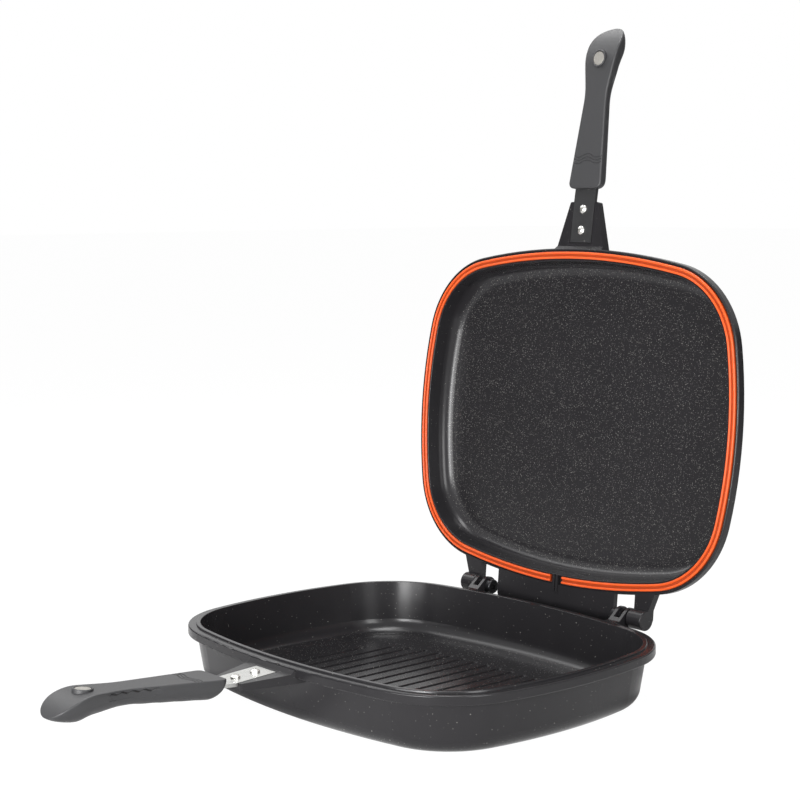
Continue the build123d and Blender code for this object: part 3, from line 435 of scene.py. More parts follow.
@dataclass(frozen=True)
class SprayedCoating(Finish):
    """Fluoropolymer non-stick coating sprayed on cast aluminium and baked.

    It gives the eye a dark charcoal that is nearly mirror smooth at a low angle, fine pale
    mineral flecks that lie thickly where the spray was heavy, and a faint orange peel.
    """

    name: str = "sprayed_fluoropolymer_coating"
    base: str = "#232224"
    cloud: str = "#272628"
    cloud_mm: float = 26.0
    ior: float = 1.36
    roughness: float = 0.22
    smoother: float = 0.04
    rougher: float = 0.05
    peel_mm: float = 1.3
    peel_depth_mm: float = 0.12
    peel_strength: float = 0.16
    fleck: str = "#9A9893"
    fleck_roughness: float = 0.15
    fine_pitch_mm: float = 1.2
    fine_radius_mm: float = 0.46
    fine_share: float = 0.02
    coarse_pitch_mm: float = 4.0
    coarse_radius_mm: float = 0.62
    coarse_share: float = 0.35
    smallest: float = 0.35
    faintest: float = 0.25
    crispness: float = 1.6
    field_turn: tuple[float, float, float] = (0.65, 0.41, 0.89)
    heavy_centre: tuple[float, float, float] | None = None
    heavy_normal: tuple[float, float, float] = (0.0, 0.0, 1.0)
    heavy_reach_mm: float = 5.0
    heavy_core: float = 0.4
    heavy_share: float = 0.8

    def heavy(self, tree: NodeTree, place: NodeSocket) -> Node | float:
        """One on the floor of the casting, where the flecks lie thickly, and zero elsewhere.

        Args:
            tree: The material's tree.
            place: Object coordinates.

        Returns:
            The mask.
        """
        if self.heavy_centre is None:
            return 0.0
        height = chain(
            tree, place, ("SUBTRACT", Vector(self.heavy_centre) * MM),
            ("DOT_PRODUCT", self.heavy_normal), kind="ShaderNodeVectorMath",
        )
        return add_node(
            tree, "ShaderNodeMapRange", chain(tree, height, ("ABSOLUTE",)),
            interpolation_type="SMOOTHSTEP", From_Min=self.heavy_core * self.heavy_reach_mm * MM,
            From_Max=self.heavy_reach_mm * MM, To_Min=1.0, To_Max=0.0,
        )

    def flecks(
        self, tree: NodeTree, place: NodeSocket, pitch_mm: float, radius_mm: float,
        share: Node | float,
    ) -> Node:
        """Round-cornered flecks, one in a share of the cells of a Voronoi field.

        The field is turned, because a floor that lies along its cells would show them in bands.

        Args:
            tree: The material's tree.
            place: Object coordinates.
            pitch_mm: Size of a cell.
            radius_mm: Size of the largest fleck.
            share: Share of the cells that hold one.

        Returns:
            How much of a fleck each point is, up to a strength that differs by cell.
        """
        ranged = "ShaderNodeMapRange"
        turned = add_node(tree, "ShaderNodeMapping", Vector=place, Rotation=self.field_turn)
        cells = add_node(tree, "ShaderNodeTexVoronoi", Vector=turned, Scale=per_metre(pitch_mm))
        chance = add_node(tree, "ShaderNodeSeparateColor", cells.outputs["Color"]).outputs
        drawn = chain(tree, chance["Red"], ("LESS_THAN", share))
        largest = radius_mm / pitch_mm
        radius = add_node(
            tree, ranged, chance["Green"], To_Min=self.smallest * largest, To_Max=largest
        )
        inside = add_node(
            tree, ranged, cells.outputs["Distance"], From_Max=radius, To_Min=self.crispness,
            To_Max=0.0,
        )
        strength = add_node(tree, ranged, chance["Blue"], To_Min=self.faintest)
        fleck = add_node(
            tree, "ShaderNodeMath", inside, strength, operation="MULTIPLY", use_clamp=True
        )
        return chain(tree, fleck, ("MULTIPLY", drawn))

    def build(self, tree: NodeTree) -> Node:
        """Flecks of two sizes over a clouded base, and orange peel in the bump.

        Args:
            tree: The material's tree.

        Returns:
            The shader.
        """
        noise, ranged = "ShaderNodeTexNoise", "ShaderNodeMapRange"
        mixed = {"kind": "ShaderNodeMix", "data_type": "RGBA"}
        place = add_node(tree, "ShaderNodeTexCoord").outputs["Object"]
        clouds = add_node(
            tree, noise, Vector=place, Scale=per_metre(self.cloud_mm), Detail=CLOUD_DETAIL
        )
        share = add_node(
            tree, ranged, self.heavy(tree, place), To_Min=self.fine_share, To_Max=self.heavy_share
        )
        fine = self.flecks(tree, place, self.fine_pitch_mm, self.fine_radius_mm, share)
        coarse = self.flecks(
            tree, place, self.coarse_pitch_mm, self.coarse_radius_mm, self.coarse_share
        )
        flecks = chain(tree, fine, ("MAXIMUM", coarse))
        ground = add_node(
            tree, **mixed, Factor=clouds, A=linear(self.base), B=linear(self.cloud)
        )
        colour = add_node(tree, **mixed, Factor=flecks, A=ground, B=linear(self.fleck))
        peel = add_node(
            tree, noise, Vector=place, Scale=per_metre(self.peel_mm), Detail=GRAIN_DETAIL
        )
        bump = add_node(
            tree, "ShaderNodeBump", Height=peel, Strength=self.peel_strength,
            Distance=self.peel_depth_mm * MM,
        )
        rough = add_node(
            tree, ranged, clouds, To_Min=self.roughness - self.smoother,
            To_Max=self.roughness + self.rougher,
        )
        matt = chain(tree, flecks, ("MULTIPLY_ADD", self.fleck_roughness, rough))
        return add_node(
            tree, "ShaderNodeBsdfPrincipled", Base_Color=colour, Roughness=matt, Normal=bump,
            IOR=self.ior,
        )


@dataclass(frozen=True)
class GrainedSolid(Finish):
    """One solid colour with a grain that is moulded, cast or plated into its skin, and painted
    shade where its mesh marks hollows.
    """

    name: str
    colour: str
    roughness: float = 0.5
    roughness_spread: float = 0.06
    metallic: float = 0.0
    ior: float = 1.5
    grain_mm: float = 0.6
    grain_depth_mm: float = 0.02
    grain_strength: float = 0.5
    mottle: float = 0.08
    mottle_mm: float = 9.0
    subsurface: float = 0.0
    subsurface_mm: float = 2.0
    # Share by which the colour is darkened where the mesh marks painted shade in its hollows.
    painted_shade_share: float = 0.0

    def build(self, tree: NodeTree) -> Node:
        """Colour varied a little by noise and darkened by painted shade in marked hollows, with
        grain in its bump and roughness.

        Args:
            tree: The material's tree.

        Returns:
            The shader.
        """
        noise, ranged = "ShaderNodeTexNoise", "ShaderNodeMapRange"
        place = add_node(tree, "ShaderNodeTexCoord").outputs["Object"]
        cloud = add_node(
            tree, noise, Vector=place, Scale=per_metre(self.mottle_mm), Detail=CLOUD_DETAIL
        )
        grain = add_node(
            tree, noise, Vector=place, Scale=per_metre(self.grain_mm), Detail=GRAIN_DETAIL
        )
        value = add_node(tree, ranged, cloud, To_Min=1 - self.mottle, To_Max=1 + self.mottle)
        # Painted shade: darken the colour where the mesh's attribute marks hollows, in place of the
        # shade that falls there.
        if self.painted_shade_share:
            hollow = add_node(tree, "ShaderNodeAttribute", attribute_name=PAINTED_SHADE)
            kept = add_node(
                tree, ranged, hollow.outputs["Fac"], To_Min=1.0, To_Max=1 - self.painted_shade_share
            )
            value = chain(tree, value, ("MULTIPLY", kept))
        colour = add_node(
            tree, "ShaderNodeHueSaturation", Color=linear(self.colour), Value=value
        )
        bump = add_node(
            tree, "ShaderNodeBump", Height=grain, Strength=self.grain_strength,
            Distance=self.grain_depth_mm * MM,
        )
        rough = add_node(
            tree, ranged, grain, To_Min=self.roughness - self.roughness_spread,
            To_Max=self.roughness + self.roughness_spread,
        )
        return add_node(
            tree, "ShaderNodeBsdfPrincipled", Base_Color=colour, Roughness=rough, Normal=bump,
            Metallic=self.metallic, Subsurface_Weight=self.subsurface,
            Subsurface_Scale=self.subsurface_mm * MM, IOR=self.ior,
        )


@dataclass(frozen=True)
class BrushedMetal(Finish):
    """Rolled or turned metal under a bright plating, with fine lines one way."""

    name: str
    colour: str
    roughness: float = 0.28
    smoother: float = 0.08
    rougher: float = 0.1
    line_mm: tuple[float, float, float] = (0.35, 14.0, 14.0)
    line_depth_mm: float = 0.01
    line_strength: float = 0.4
    line_detail: float = 3.0
    stain: float = 0.12
    stain_mm: float = 7.0
    stain_detail: float = 6.0
    spread: tuple[float, float] = (0.3, 0.7)

    def build(self, tree: NodeTree) -> Node:
        """Noise stretched along the lines, in roughness and bump, with faint stains.

        Args:
            tree: The material's tree.

        Returns:
            The shader.
        """
        noise = "ShaderNodeTexNoise"
        middle = {
            "kind": "ShaderNodeMapRange", "From_Min": self.spread[0], "From_Max": self.spread[1],
        }
        place = add_node(tree, "ShaderNodeTexCoord").outputs["Object"]
        scale = tuple(per_metre(size) for size in self.line_mm)
        stretched = add_node(tree, "ShaderNodeMapping", Vector=place, Scale=scale)
        lines = add_node(tree, noise, Vector=stretched, Scale=1.0, Detail=self.line_detail)
        stains = add_node(
            tree, noise, Vector=place, Scale=per_metre(self.stain_mm), Detail=self.stain_detail
        )
        value = add_node(tree, **middle, Value=stains, To_Min=1 - self.stain)
        colour = add_node(
            tree, "ShaderNodeHueSaturation", Color=linear(self.colour), Value=value
        )
        rough = add_node(
            tree, **middle, Value=lines, To_Min=self.roughness - self.smoother,
            To_Max=self.roughness + self.rougher,
        )
        bump = add_node(
            tree, "ShaderNodeBump", Height=lines, Strength=self.line_strength,
            Distance=self.line_depth_mm * MM,
        )
        return add_node(
            tree, "ShaderNodeBsdfPrincipled", Base_Color=colour, Metallic=1.0, Roughness=rough,
            Normal=bump,
        )


def on_open_lid(height_mm: float) -> tuple[float, float, float]:
    """Where a point of the shut lid's middle, at a height, lies with the lid open."""
    return tuple(LAYOUT.swing() @ (Vector((0.0, 0.0, height_mm)) * MM) / MM)


LOWER_COATING = SprayedCoating(
    "sprayed_fluoropolymer_coating_lower", heavy_centre=(0.0, 0.0, LAYOUT.floor_top),
    heavy_reach_mm=3.0, heavy_share=0.3,
)
UPPER_COATING = SprayedCoating(
    "sprayed_fluoropolymer_coating_upper",
    heavy_centre=on_open_lid(LAYOUT.lid_rim + LAYOUT.lid_floor_behind_rim),
    heavy_normal=tuple(LAYOUT.swing().to_3x3() @ Vector((0.0, 0.0, 1.0))),
)
# Liquid silicone rubber, moulded: an even, slightly waxy orange with a soft highlight.
# The valley between its ribs is darkened by painted shade.
SILICONE = GrainedSolid(
    "moulded_silicone_rubber", "#EE5F28", roughness=0.36, ior=1.41, grain_mm=0.8,
    grain_depth_mm=0.012, mottle=0.03, subsurface=0.05, painted_shade_share=0.55,
)
# Phenolic resin, compression moulded in a spark-eroded tool: matt charcoal, finely pebbled.
# Its thumb-rest recess and groove are darkened by painted shade.
PHENOLIC = GrainedSolid(
    "moulded_phenolic_resin", "#2B2B2D", roughness=0.5, ior=1.6, grain_mm=0.7, grain_depth_mm=0.03,
    mottle=0.05, painted_shade_share=0.75,
)
# Low-carbon strip steel under bright zinc: nearly white, with rolling lines along it.
ZINC_STEEL = BrushedMetal("zinc_plated_strip_steel", "#D9D9D6", roughness=0.26)
# The same strip sprayed black with the casting's coating.
COATED_STEEL = SprayedCoating(
    "coated_strip_steel", base="#2A2A2B", cloud="#303031", ior=1.42, roughness=0.33
)
# Machine screws under bright nickel: small sharp highlights and turned lines.
BRIGHT_SCREW = BrushedMetal(
    "nickel_plated_screw_steel", "#DEDDD9", roughness=0.2, line_mm=(1.6, 1.6, 1.6)
)
# Sintered magnet under nickel: grey, pitted by the pressing.
MAGNET_NICKEL = GrainedSolid(
    "nickel_plated_magnet", "#A5A29C", roughness=0.5, roughness_spread=0.12, metallic=0.75,
    grain_mm=1.1, grain_depth_mm=0.12, mottle=0.25, mottle_mm=2.2,
)
# Turned steel, blackened in hot oxide: dark with a blue-grey sheen on its edges.
BLACK_STEEL = GrainedSolid(
    "oxide_blackened_steel", "#2A2A2C", roughness=0.34, metallic=0.75, grain_mm=0.5, mottle=0.15
)


# ---------------------------------------------------------------- castings and steel from model.glb
def dress(node: str, finish: Finish) -> None:
    """Give a CAD node a finish in place of its plain one.

    Args:
        node: Name of the node.
        finish: What it is finished in.
    """
    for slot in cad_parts[node].material_slots:
        slot.material = finish.make()
    LOG.info("%s: %s", node, finish.name)


@dataclass
class Castings:
    """The two cast pans, with hinge lugs and brackets, as model.glb gives them."""

    lower: Finish = LOWER_COATING
    upper: Finish = UPPER_COATING

    def build(self) -> None:
        """Coat both castings."""
        dress("lower_pan", self.lower)
        dress("upper_pan", self.upper)


@dataclass
class HandleTongues:
    """The flat steel tongues that carry the grips: bright zinc below, black on the lid."""

    lower: Finish = ZINC_STEEL
    upper: Finish = COATED_STEEL
    screw: Finish = BRIGHT_SCREW

    def build(self) -> None:
        """Finish both tongues and the screws sunk in the grips."""
        dress("lower_tongue", self.lower)
        dress("upper_tongue", self.upper)
        for body in Body:
            dress(f"{body.value}_grip_screw", self.screw)


@dataclass
class HingeHardware:
    """Shoulder bolts, washers and lock nuts on both sides, as model.glb gives them."""

    finish: Finish = BLACK_STEEL

    def build(self) -> None:
        """Blacken every piece on both sides."""
        for part in ("hinge_bolt", "thrust_washer", "spring_washer", "lock_nut"):
            for side in ("right", "left"):
                dress(f"{part}_{side}", self.finish)


# ---------------------------------------------------------------- seal
@dataclass
class SealRing:
    """Silicone ring with two domed ribs that follows the lid's rim; sizes in millimetres."""

    inset: float = 2.4
    width: float = 6.9
    rib_width: float = 2.5
    rib_height: float = 1.7
    rib_power: float = 2.4
    root_depth: float = 2.5
    mouth: float = 15.0
    mouth_offset: float = 2.0
    mouth_margin: float = 1.0
    step: float = 4.0
    section_points: int = 65
    end_share: float = 0.9999
    sharp_deg: float = 50.0

    def path(self) -> Curve:
        """Centre line of the ring, from one side of the mouth round to the other.

        Returns:
            The line as a curve, in metres.
        """
        low = self.mouth_offset - self.mouth / 2
        high = self.mouth_offset + self.mouth / 2
        start, stop = low - self.mouth_margin, high + self.mouth_margin
        line = Outline().points(self.inset + self.width / 2, self.step)
        kept = [point for point in line if not (point.y > 0 and start < point.x < stop)]
        first = next(
            place
            for place, point in enumerate(kept)
            if point.y > 0 and point.x < 0 and kept[place - 1].x > 0
        )
        kept = kept[first:] + kept[:first]
        kept.insert(0, Vector((low, kept[0].y)))
        kept.append(Vector((high, kept[-1].y)))
        curve = bpy.data.curves.new("seal_path", "CURVE")
        curve.dimensions = "3D"
        spline = curve.splines.new("POLY")
        spline.points.add(len(kept) - 1)
        for point, place in zip(spline.points, kept):
            point.co = (place.x * MM, place.y * MM, LAYOUT.lid_rim * MM, 1.0)
        return curve

    def section(self, shape: NodeShape) -> Node:
        """Closed cross-section: two domed ribs with a valley, on a flat root.

        Args:
            shape: Tree that the nodes go into.

        Returns:
            The section's curve, across X, with the ribs towards Y.
        """
        tree = shape.tree
        half = chain(tree, shape.size("Width", self.width * MM), ("MULTIPLY", 0.5))
        rib = shape.size("Rib Width", self.rib_width * MM)
        rise = shape.size("Rib Height", self.rib_height * MM)
        proud = shape.size("Proud", LAYOUT.gasket_proud * MM)
        root = shape.size("Root Depth", self.root_depth * MM)
        points = shape.size("Section Points", self.section_points)
        start, end = (
            add_node(tree, "ShaderNodeCombineXYZ", chain(tree, half, ("MULTIPLY", side)))
            for side in (-1.0, 1.0)
        )
        line = add_node(tree, "GeometryNodeCurvePrimitiveLine", Start=start, End=end)
        dense = add_node(tree, "GeometryNodeResampleCurve", Curve=line, Count=points)
        position = add_node(tree, "GeometryNodeInputPosition")
        place = add_node(tree, "ShaderNodeSeparateXYZ", position).outputs["X"]
        across = chain(tree, place, ("ABSOLUTE",))
        half_rib = chain(tree, rib, ("MULTIPLY", 0.5))
        dome = chain(
            tree, across, ("SUBTRACT", chain(tree, half, ("SUBTRACT", half_rib))),
            ("DIVIDE", half_rib), ("ABSOLUTE",), ("POWER", self.rib_power), ("MULTIPLY", -1.0),
            ("ADD", 1.0), ("MAXIMUM", 0.0), ("POWER", 0.5), ("MULTIPLY", rise),
        )
        crown = chain(tree, dome, ("ADD", chain(tree, proud, ("SUBTRACT", rise))))
        nearly_half = chain(tree, half, ("MULTIPLY", self.end_share))
        at_end = chain(tree, across, ("GREATER_THAN", nearly_half))
        drop = chain(tree, crown, ("ADD", root), ("MULTIPLY", at_end))
        height = chain(tree, crown, ("SUBTRACT", drop))
        raised = add_node(tree, "ShaderNodeCombineXYZ", place, height)
        placed = add_node(tree, "GeometryNodeSetPosition", Geometry=dense, Position=raised)
        # Painted shade: one in the valley between the ribs, falling to zero on their crowns, to
        # darken the valley's colour.
        low = add_node(tree, "ShaderNodeMapRange", dome, From_Max=rise, To_Min=1.0, To_Max=0.0)
        marked = add_node(
            tree, "GeometryNodeStoreNamedAttribute", data_type="FLOAT", domain="POINT",
            Geometry=placed, Name=PAINTED_SHADE, Value=low,
        )
        return add_node(tree, "GeometryNodeSetSplineCyclic", Geometry=marked, Cyclic=True)

    def build(self, finish: Finish) -> None:
        """Carry the section along the path and seat the ring in the lid.

        Args:
            finish: What the ring is made of.
        """
        shape = NodeShape("seal_ring")
        line = shape.entry.outputs["Geometry"]
        ring = add_node(
            shape.tree, "GeometryNodeCurveToMesh",
            Curve=add_node(shape.tree, "GeometryNodeSetCurveNormal", mode="Z_UP", Curve=line),
            Profile_Curve=self.section(shape), Fill_Caps=True,
        )
        mesh = shape.finish(ring, finish.make(), self.path(), self.sharp_deg)
        put("seal_ring", mesh, LAYOUT.swing(), Body.UPPER, ["gasket"])


# ---------------------------------------------------------------- turned parts
@dataclass(frozen=True)
class TurnedSizes:
    """A head or disc turned about its axis, in millimetres; its top faces -Z.

    It is bent from a ball. Of the quarter turn from its middle to its pole, edge_share makes
    the round edge and the rest the dome; the lower half makes the flat seat.
    """

    radius: float
    rim: float
    dome: float
    edge: float
    foot: float = 0.0
    foot_radius: float = 0.0
    recess_width: float = 0.0
    recess_length: float = 0.0
    recess_depth: float = 0.0
    recess_turn_deg: float = 20.0
    edge_share: float = 0.3
    seat_share: float = 0.95
    seat_from: float = -0.01
    segments: int = 48
    rings: int = 40
    foot_segments: int = 32
    sharp_deg: float = 40.0

    def head(self, shape: NodeShape) -> Node:
        """Bend a ball into the domed head.

        Args:
            shape: Tree that the nodes go into.

        Returns:
            The head, with its seat at the origin and its top towards Z.
        """
        tree = shape.tree
        radius = shape.size("Head Radius", self.radius * MM)
        rim = shape.size("Rim Height", self.rim * MM)
        dome = shape.size("Dome Height", self.dome * MM)
        edge = shape.size("Edge Radius", self.edge * MM)
        ball = add_node(
            tree, "GeometryNodeMeshUVSphere", Segments=self.segments, Rings=self.rings, Radius=1.0
        )
        position = add_node(tree, "GeometryNodeInputPosition")
        parts = add_node(tree, "ShaderNodeSeparateXYZ", position).outputs
        square = chain(tree, parts["X"], ("POWER", 2.0))
        span = chain(tree, parts["Y"], ("POWER", 2.0), ("ADD", square), ("SQRT",))
        share = chain(tree, parts["Z"], ("ARCTAN2", span), ("DIVIDE", math.pi / 2))
        bend = chain(
            tree, share, ("DIVIDE", self.edge_share), ("MINIMUM", 1.0), ("MAXIMUM", 0.0),
            ("MULTIPLY", math.pi / 2),
        )
        edge_out = chain(tree, bend, ("COSINE",), ("MULTIPLY", edge))
        edge_up = chain(tree, bend, ("SINE",), ("MULTIPLY", edge))
        from_pole = chain(
            tree, share, ("SUBTRACT", self.edge_share), ("DIVIDE", 1.0 - self.edge_share),
            ("MAXIMUM", 0.0), ("MULTIPLY", -1.0), ("ADD", 1.0),
        )
        under = chain(tree, share, ("ADD", 1.0), ("DIVIDE", self.seat_share), ("MINIMUM", 1.0))
        reach = chain(
            tree, chain(tree, radius, ("SUBTRACT", edge)), ("MULTIPLY", from_pole),
            ("ADD", edge_out), ("MULTIPLY", under),
        )
        top = chain(
            tree, from_pole, ("POWER", 2.0), ("MULTIPLY", -1.0), ("ADD", 1.0), ("MULTIPLY", dome),
            ("ADD", edge_up), ("ADD", chain(tree, rim, ("SUBTRACT", edge))),
            ("MULTIPLY", chain(tree, share, ("GREATER_THAN", self.seat_from))),
        )
        scale = chain(tree, reach, ("DIVIDE", chain(tree, span, ("MAXIMUM", NEARLY_ZERO))))
        out = [chain(tree, parts[axis], ("MULTIPLY", scale)) for axis in "XY"]
        bent = add_node(tree, "ShaderNodeCombineXYZ", *out, top)
        return add_node(tree, "GeometryNodeSetPosition", Geometry=ball, Position=bent)

    def crossed(self, tree: NodeTree, head: Node) -> Node:
        """Cut the crossed drive recess in a head.

        Args:
            tree: Tree that the nodes go into.
            head: The head.

        Returns:
            The head with its recess.
        """
        boolean, depth = "GeometryNodeMeshBoolean", 2 * self.recess_depth
        sides = [(self.recess_length, self.recess_width), (self.recess_width, self.recess_length)]
        bars = [
            add_node(tree, "GeometryNodeMeshCube", Size=Vector((*pair, depth)) * MM)
            for pair in sides
        ]
        cross = add_node(tree, boolean, operation="UNION", solver="EXACT", Mesh_2=bars)
        raised = add_node(
            tree, "GeometryNodeTransform", Geometry=cross,
            Translation=(0.0, 0.0, (self.rim + self.dome) * MM),
            Rotation=(0.0, 0.0, math.radians(self.recess_turn_deg)),
        )
        return add_node(
            tree, boolean, operation="DIFFERENCE", solver="EXACT", Mesh_1=head, Mesh_2=raised
        )

    def turn(self, name: str, finish: Finish, pitch: float = 0.0, count: int = 1) -> Mesh:
        """Make the head with its shank and drive recess, repeated along a row.

        Args:
            name: Name of the tree and mesh.
            finish: What it is finished in.
            pitch: Distance between parts along Y, in millimetres.
            count: How many stand in the row.

        Returns:
            The mesh, with the first part's seat at the origin.
        """
        shape = NodeShape(name)
        tree = shape.tree
        head = self.head(shape)
        solids = [self.crossed(tree, head) if self.recess_depth else head]
        if self.foot:
            foot = add_node(
                tree, "GeometryNodeMeshCylinder", Vertices=self.foot_segments,
                Radius=shape.size("Shank Radius", self.foot_radius * MM),
                Depth=shape.size("Shank Length", self.foot * MM),
            )
            centre = (0.0, 0.0, -0.5 * self.foot * MM)
            solids.append(
                add_node(tree, "GeometryNodeTransform", Geometry=foot, Translation=centre)
            )
        whole = add_node(tree, "GeometryNodeJoinGeometry", solids)
        apart = add_node(tree, "ShaderNodeCombineXYZ", Y=shape.size("Pitch", pitch * MM))
        row = add_node(
            tree, "GeometryNodeMeshLine", Count=shape.size("Count", count), Offset=apart
        )
        placed = add_node(tree, "GeometryNodeInstanceOnPoints", Points=row, Instance=whole)
        mesh = shape.finish(placed, finish.make(), sharp_deg=self.sharp_deg)
        mesh.transform(Matrix.Scale(-1.0, 4, (0.0, 0.0, 1.0)))
        mesh.flip_normals()
        return mesh


# ---------------------------------------------------------------- places on the handles
def plane_matrix(origin: Sequence[float], lean_deg: float) -> Matrix:
    """Frame of a handle part in the lower half: X across, Y outward, Z into the part.

    Args:
        origin: Its origin, in millimetres.
        lean_deg: How far the outward direction dips below level.

    Returns:
        The frame in metres.
    """
    lean = math.radians(lean_deg)
    across = Vector((1.0, 0.0, 0.0))
    inward = Vector((0.0, math.sin(lean), -math.cos(lean)))
    turned = Matrix((across, inward.cross(across), inward)).transposed().to_4x4()
    return Matrix.Translation(Vector(origin) * MM) @ turned


@dataclass(frozen=True)
class Bracket:
    """The cast bracket's face that the tongue lies in, in millimetres."""

    drop: float = 6.0
    slope_deg: float = 3.0
    length: float = 45.0
    tongue_top: float = -0.2
    tongue_middle: float = 1.3
    bend_past_tip: float = 1.5
    screw_from_tip: float = 7.0
    screw_pitch: float = 20.0

    def face(self) -> Matrix:
        """Frame of the bracket's face."""
        origin = (0.0, -LAYOUT.half_width, LAYOUT.lip_top - self.drop)
        return plane_matrix(origin, self.slope_deg)

    def first_screw(self) -> Matrix:
        """Frame of the inner screw's seat on the tongue."""
        along = self.length - self.screw_from_tip - self.screw_pitch
        return self.face() @ Matrix.Translation(Vector((0.0, along, self.tongue_top)) * MM)


# ---------------------------------------------------------------- screws and magnets
@dataclass
class BracketScrews:
    """Two domed machine screws on each tongue, with crossed drive recesses."""

    bracket: Bracket = Bracket()
    sizes: TurnedSizes = TurnedSizes(
        radius=4.2, rim=1.6, dome=1.4, edge=0.7, foot=7.0, foot_radius=2.0, recess_width=0.85,
        recess_length=4.0, recess_depth=1.2,
    )

    def build(self, finish: Finish) -> None:
        """Make both pairs.

        Args:
            finish: What the screws are plated in.
        """
        for body in Body:
            name = f"{body.value}_bracket_screws"
            mesh = self.sizes.turn(name, finish, self.bracket.screw_pitch, 2)
            place = LAYOUT.place(body) @ self.bracket.first_screw()
            put(name, mesh, place, body, [f"{body.value}_tongue_screws"])


# ---------------------------------------------------------------- grips
@dataclass(frozen=True)
class ThumbRest:
    """Recess in both sides of a grip below a wavy line, with painted shade in it, in millimetres.
    """

    start: float = 60.0
    stop: float = 112.0
    run_out: float = 7.0
    depth: float = 0.9
    wave: float = 10.4
    line: float = 1.9
    swing: float = 0.7
    step: float = 0.6
    fades_at: float = 11.0
    fades_over: float = 7.0
    groove_below: float = 0.5
    groove_half: float = 0.75
    groove_depth: float = 0.6
    # Painted shade over the recess; the groove gets full painted shade.
    shade: float = 0.1

    def cut(self, station: float, depth: float) -> tuple[float, float]:
        """Cut in a side below its wavy line.

        Args:
            station: Distance along the face.
            depth: Depth from the face.

        Returns:
            How far the side is cut in, and how much painted shade it gets: a little over the recess
            and full in the groove.
        """
        ends = eased(min(station - self.start, self.stop - station) / self.run_out)
        turn = 2 * math.pi * (station - self.start) / self.wave
        line = self.line + self.swing * math.cos(turn)
        recess = eased((depth - line) / self.step)
        recess *= eased((self.fades_at - depth) / self.fades_over)
        groove = max(0.0, 1.0 - ((depth - line - self.groove_below) / self.groove_half) ** 2)
        cut = self.depth * recess + self.groove_depth * groove
        return cut * ends, (self.shade * recess + groove) * ends


@dataclass(frozen=True)
class WavyGrooves:
    """Grooves across the face near the collar, in millimetres."""

    at: float = 28.0
    count: int = 3
    pitch: float = 3.0
    wave: float = 24.0
    height: float = 1.6
    radius: float = 0.72
    above_face: float = 0.05
    reach: float = 24.48
    points: int = 73
    round_points: int = 10

    def cutter(self, shape: NodeShape, face: float) -> Node:
        """One waved rod, repeated along the grip.

        Args:
            shape: Tree that the nodes go into.
            face: Depth of the face in the grip's frame.

        Returns:
            The rods' geometry.
        """
        tree = shape.tree
        ends = [(side * self.reach * MM, 0.0, 0.0) for side in (-1, 1)]
        line = add_node(tree, "GeometryNodeCurvePrimitiveLine", Start=ends[0], End=ends[1])
        dense = add_node(tree, "GeometryNodeResampleCurve", Curve=line, Count=self.points)
        position = add_node(tree, "GeometryNodeInputPosition")
        across = add_node(tree, "ShaderNodeSeparateXYZ", position)
        turn = chain(
            tree, across, ("MULTIPLY", 2 * math.pi),
            ("DIVIDE", shape.size("Wave Length", self.wave * MM)), ("COSINE",),
            ("MULTIPLY", shape.size("Wave Height", self.height * MM)),
        )
        waved = add_node(
            tree, "GeometryNodeSetPosition", Geometry=dense,
            Offset=add_node(tree, "ShaderNodeCombineXYZ", Y=turn),
        )
        profile = add_node(
            tree, "GeometryNodeCurvePrimitiveCircle", Resolution=self.round_points,
            Radius=shape.size("Groove Radius", self.radius * MM),
        )
        rod = add_node(
            tree, "GeometryNodeCurveToMesh", Curve=waved, Profile_Curve=profile, Fill_Caps=True
        )
        pitch = shape.size("Groove Pitch", self.pitch * MM)
        row = add_node(
            tree, "GeometryNodeMeshLine", Count=shape.size("Groove Count", self.count),
            Start_Location=(0.0, (self.at - self.pitch) * MM, (face - self.above_face) * MM),
            Offset=add_node(tree, "ShaderNodeCombineXYZ", Y=pitch),
        )
        placed = add_node(tree, "GeometryNodeInstanceOnPoints", Points=row, Instance=rod)
        return add_node(tree, "GeometryNodeRealizeInstances", placed)


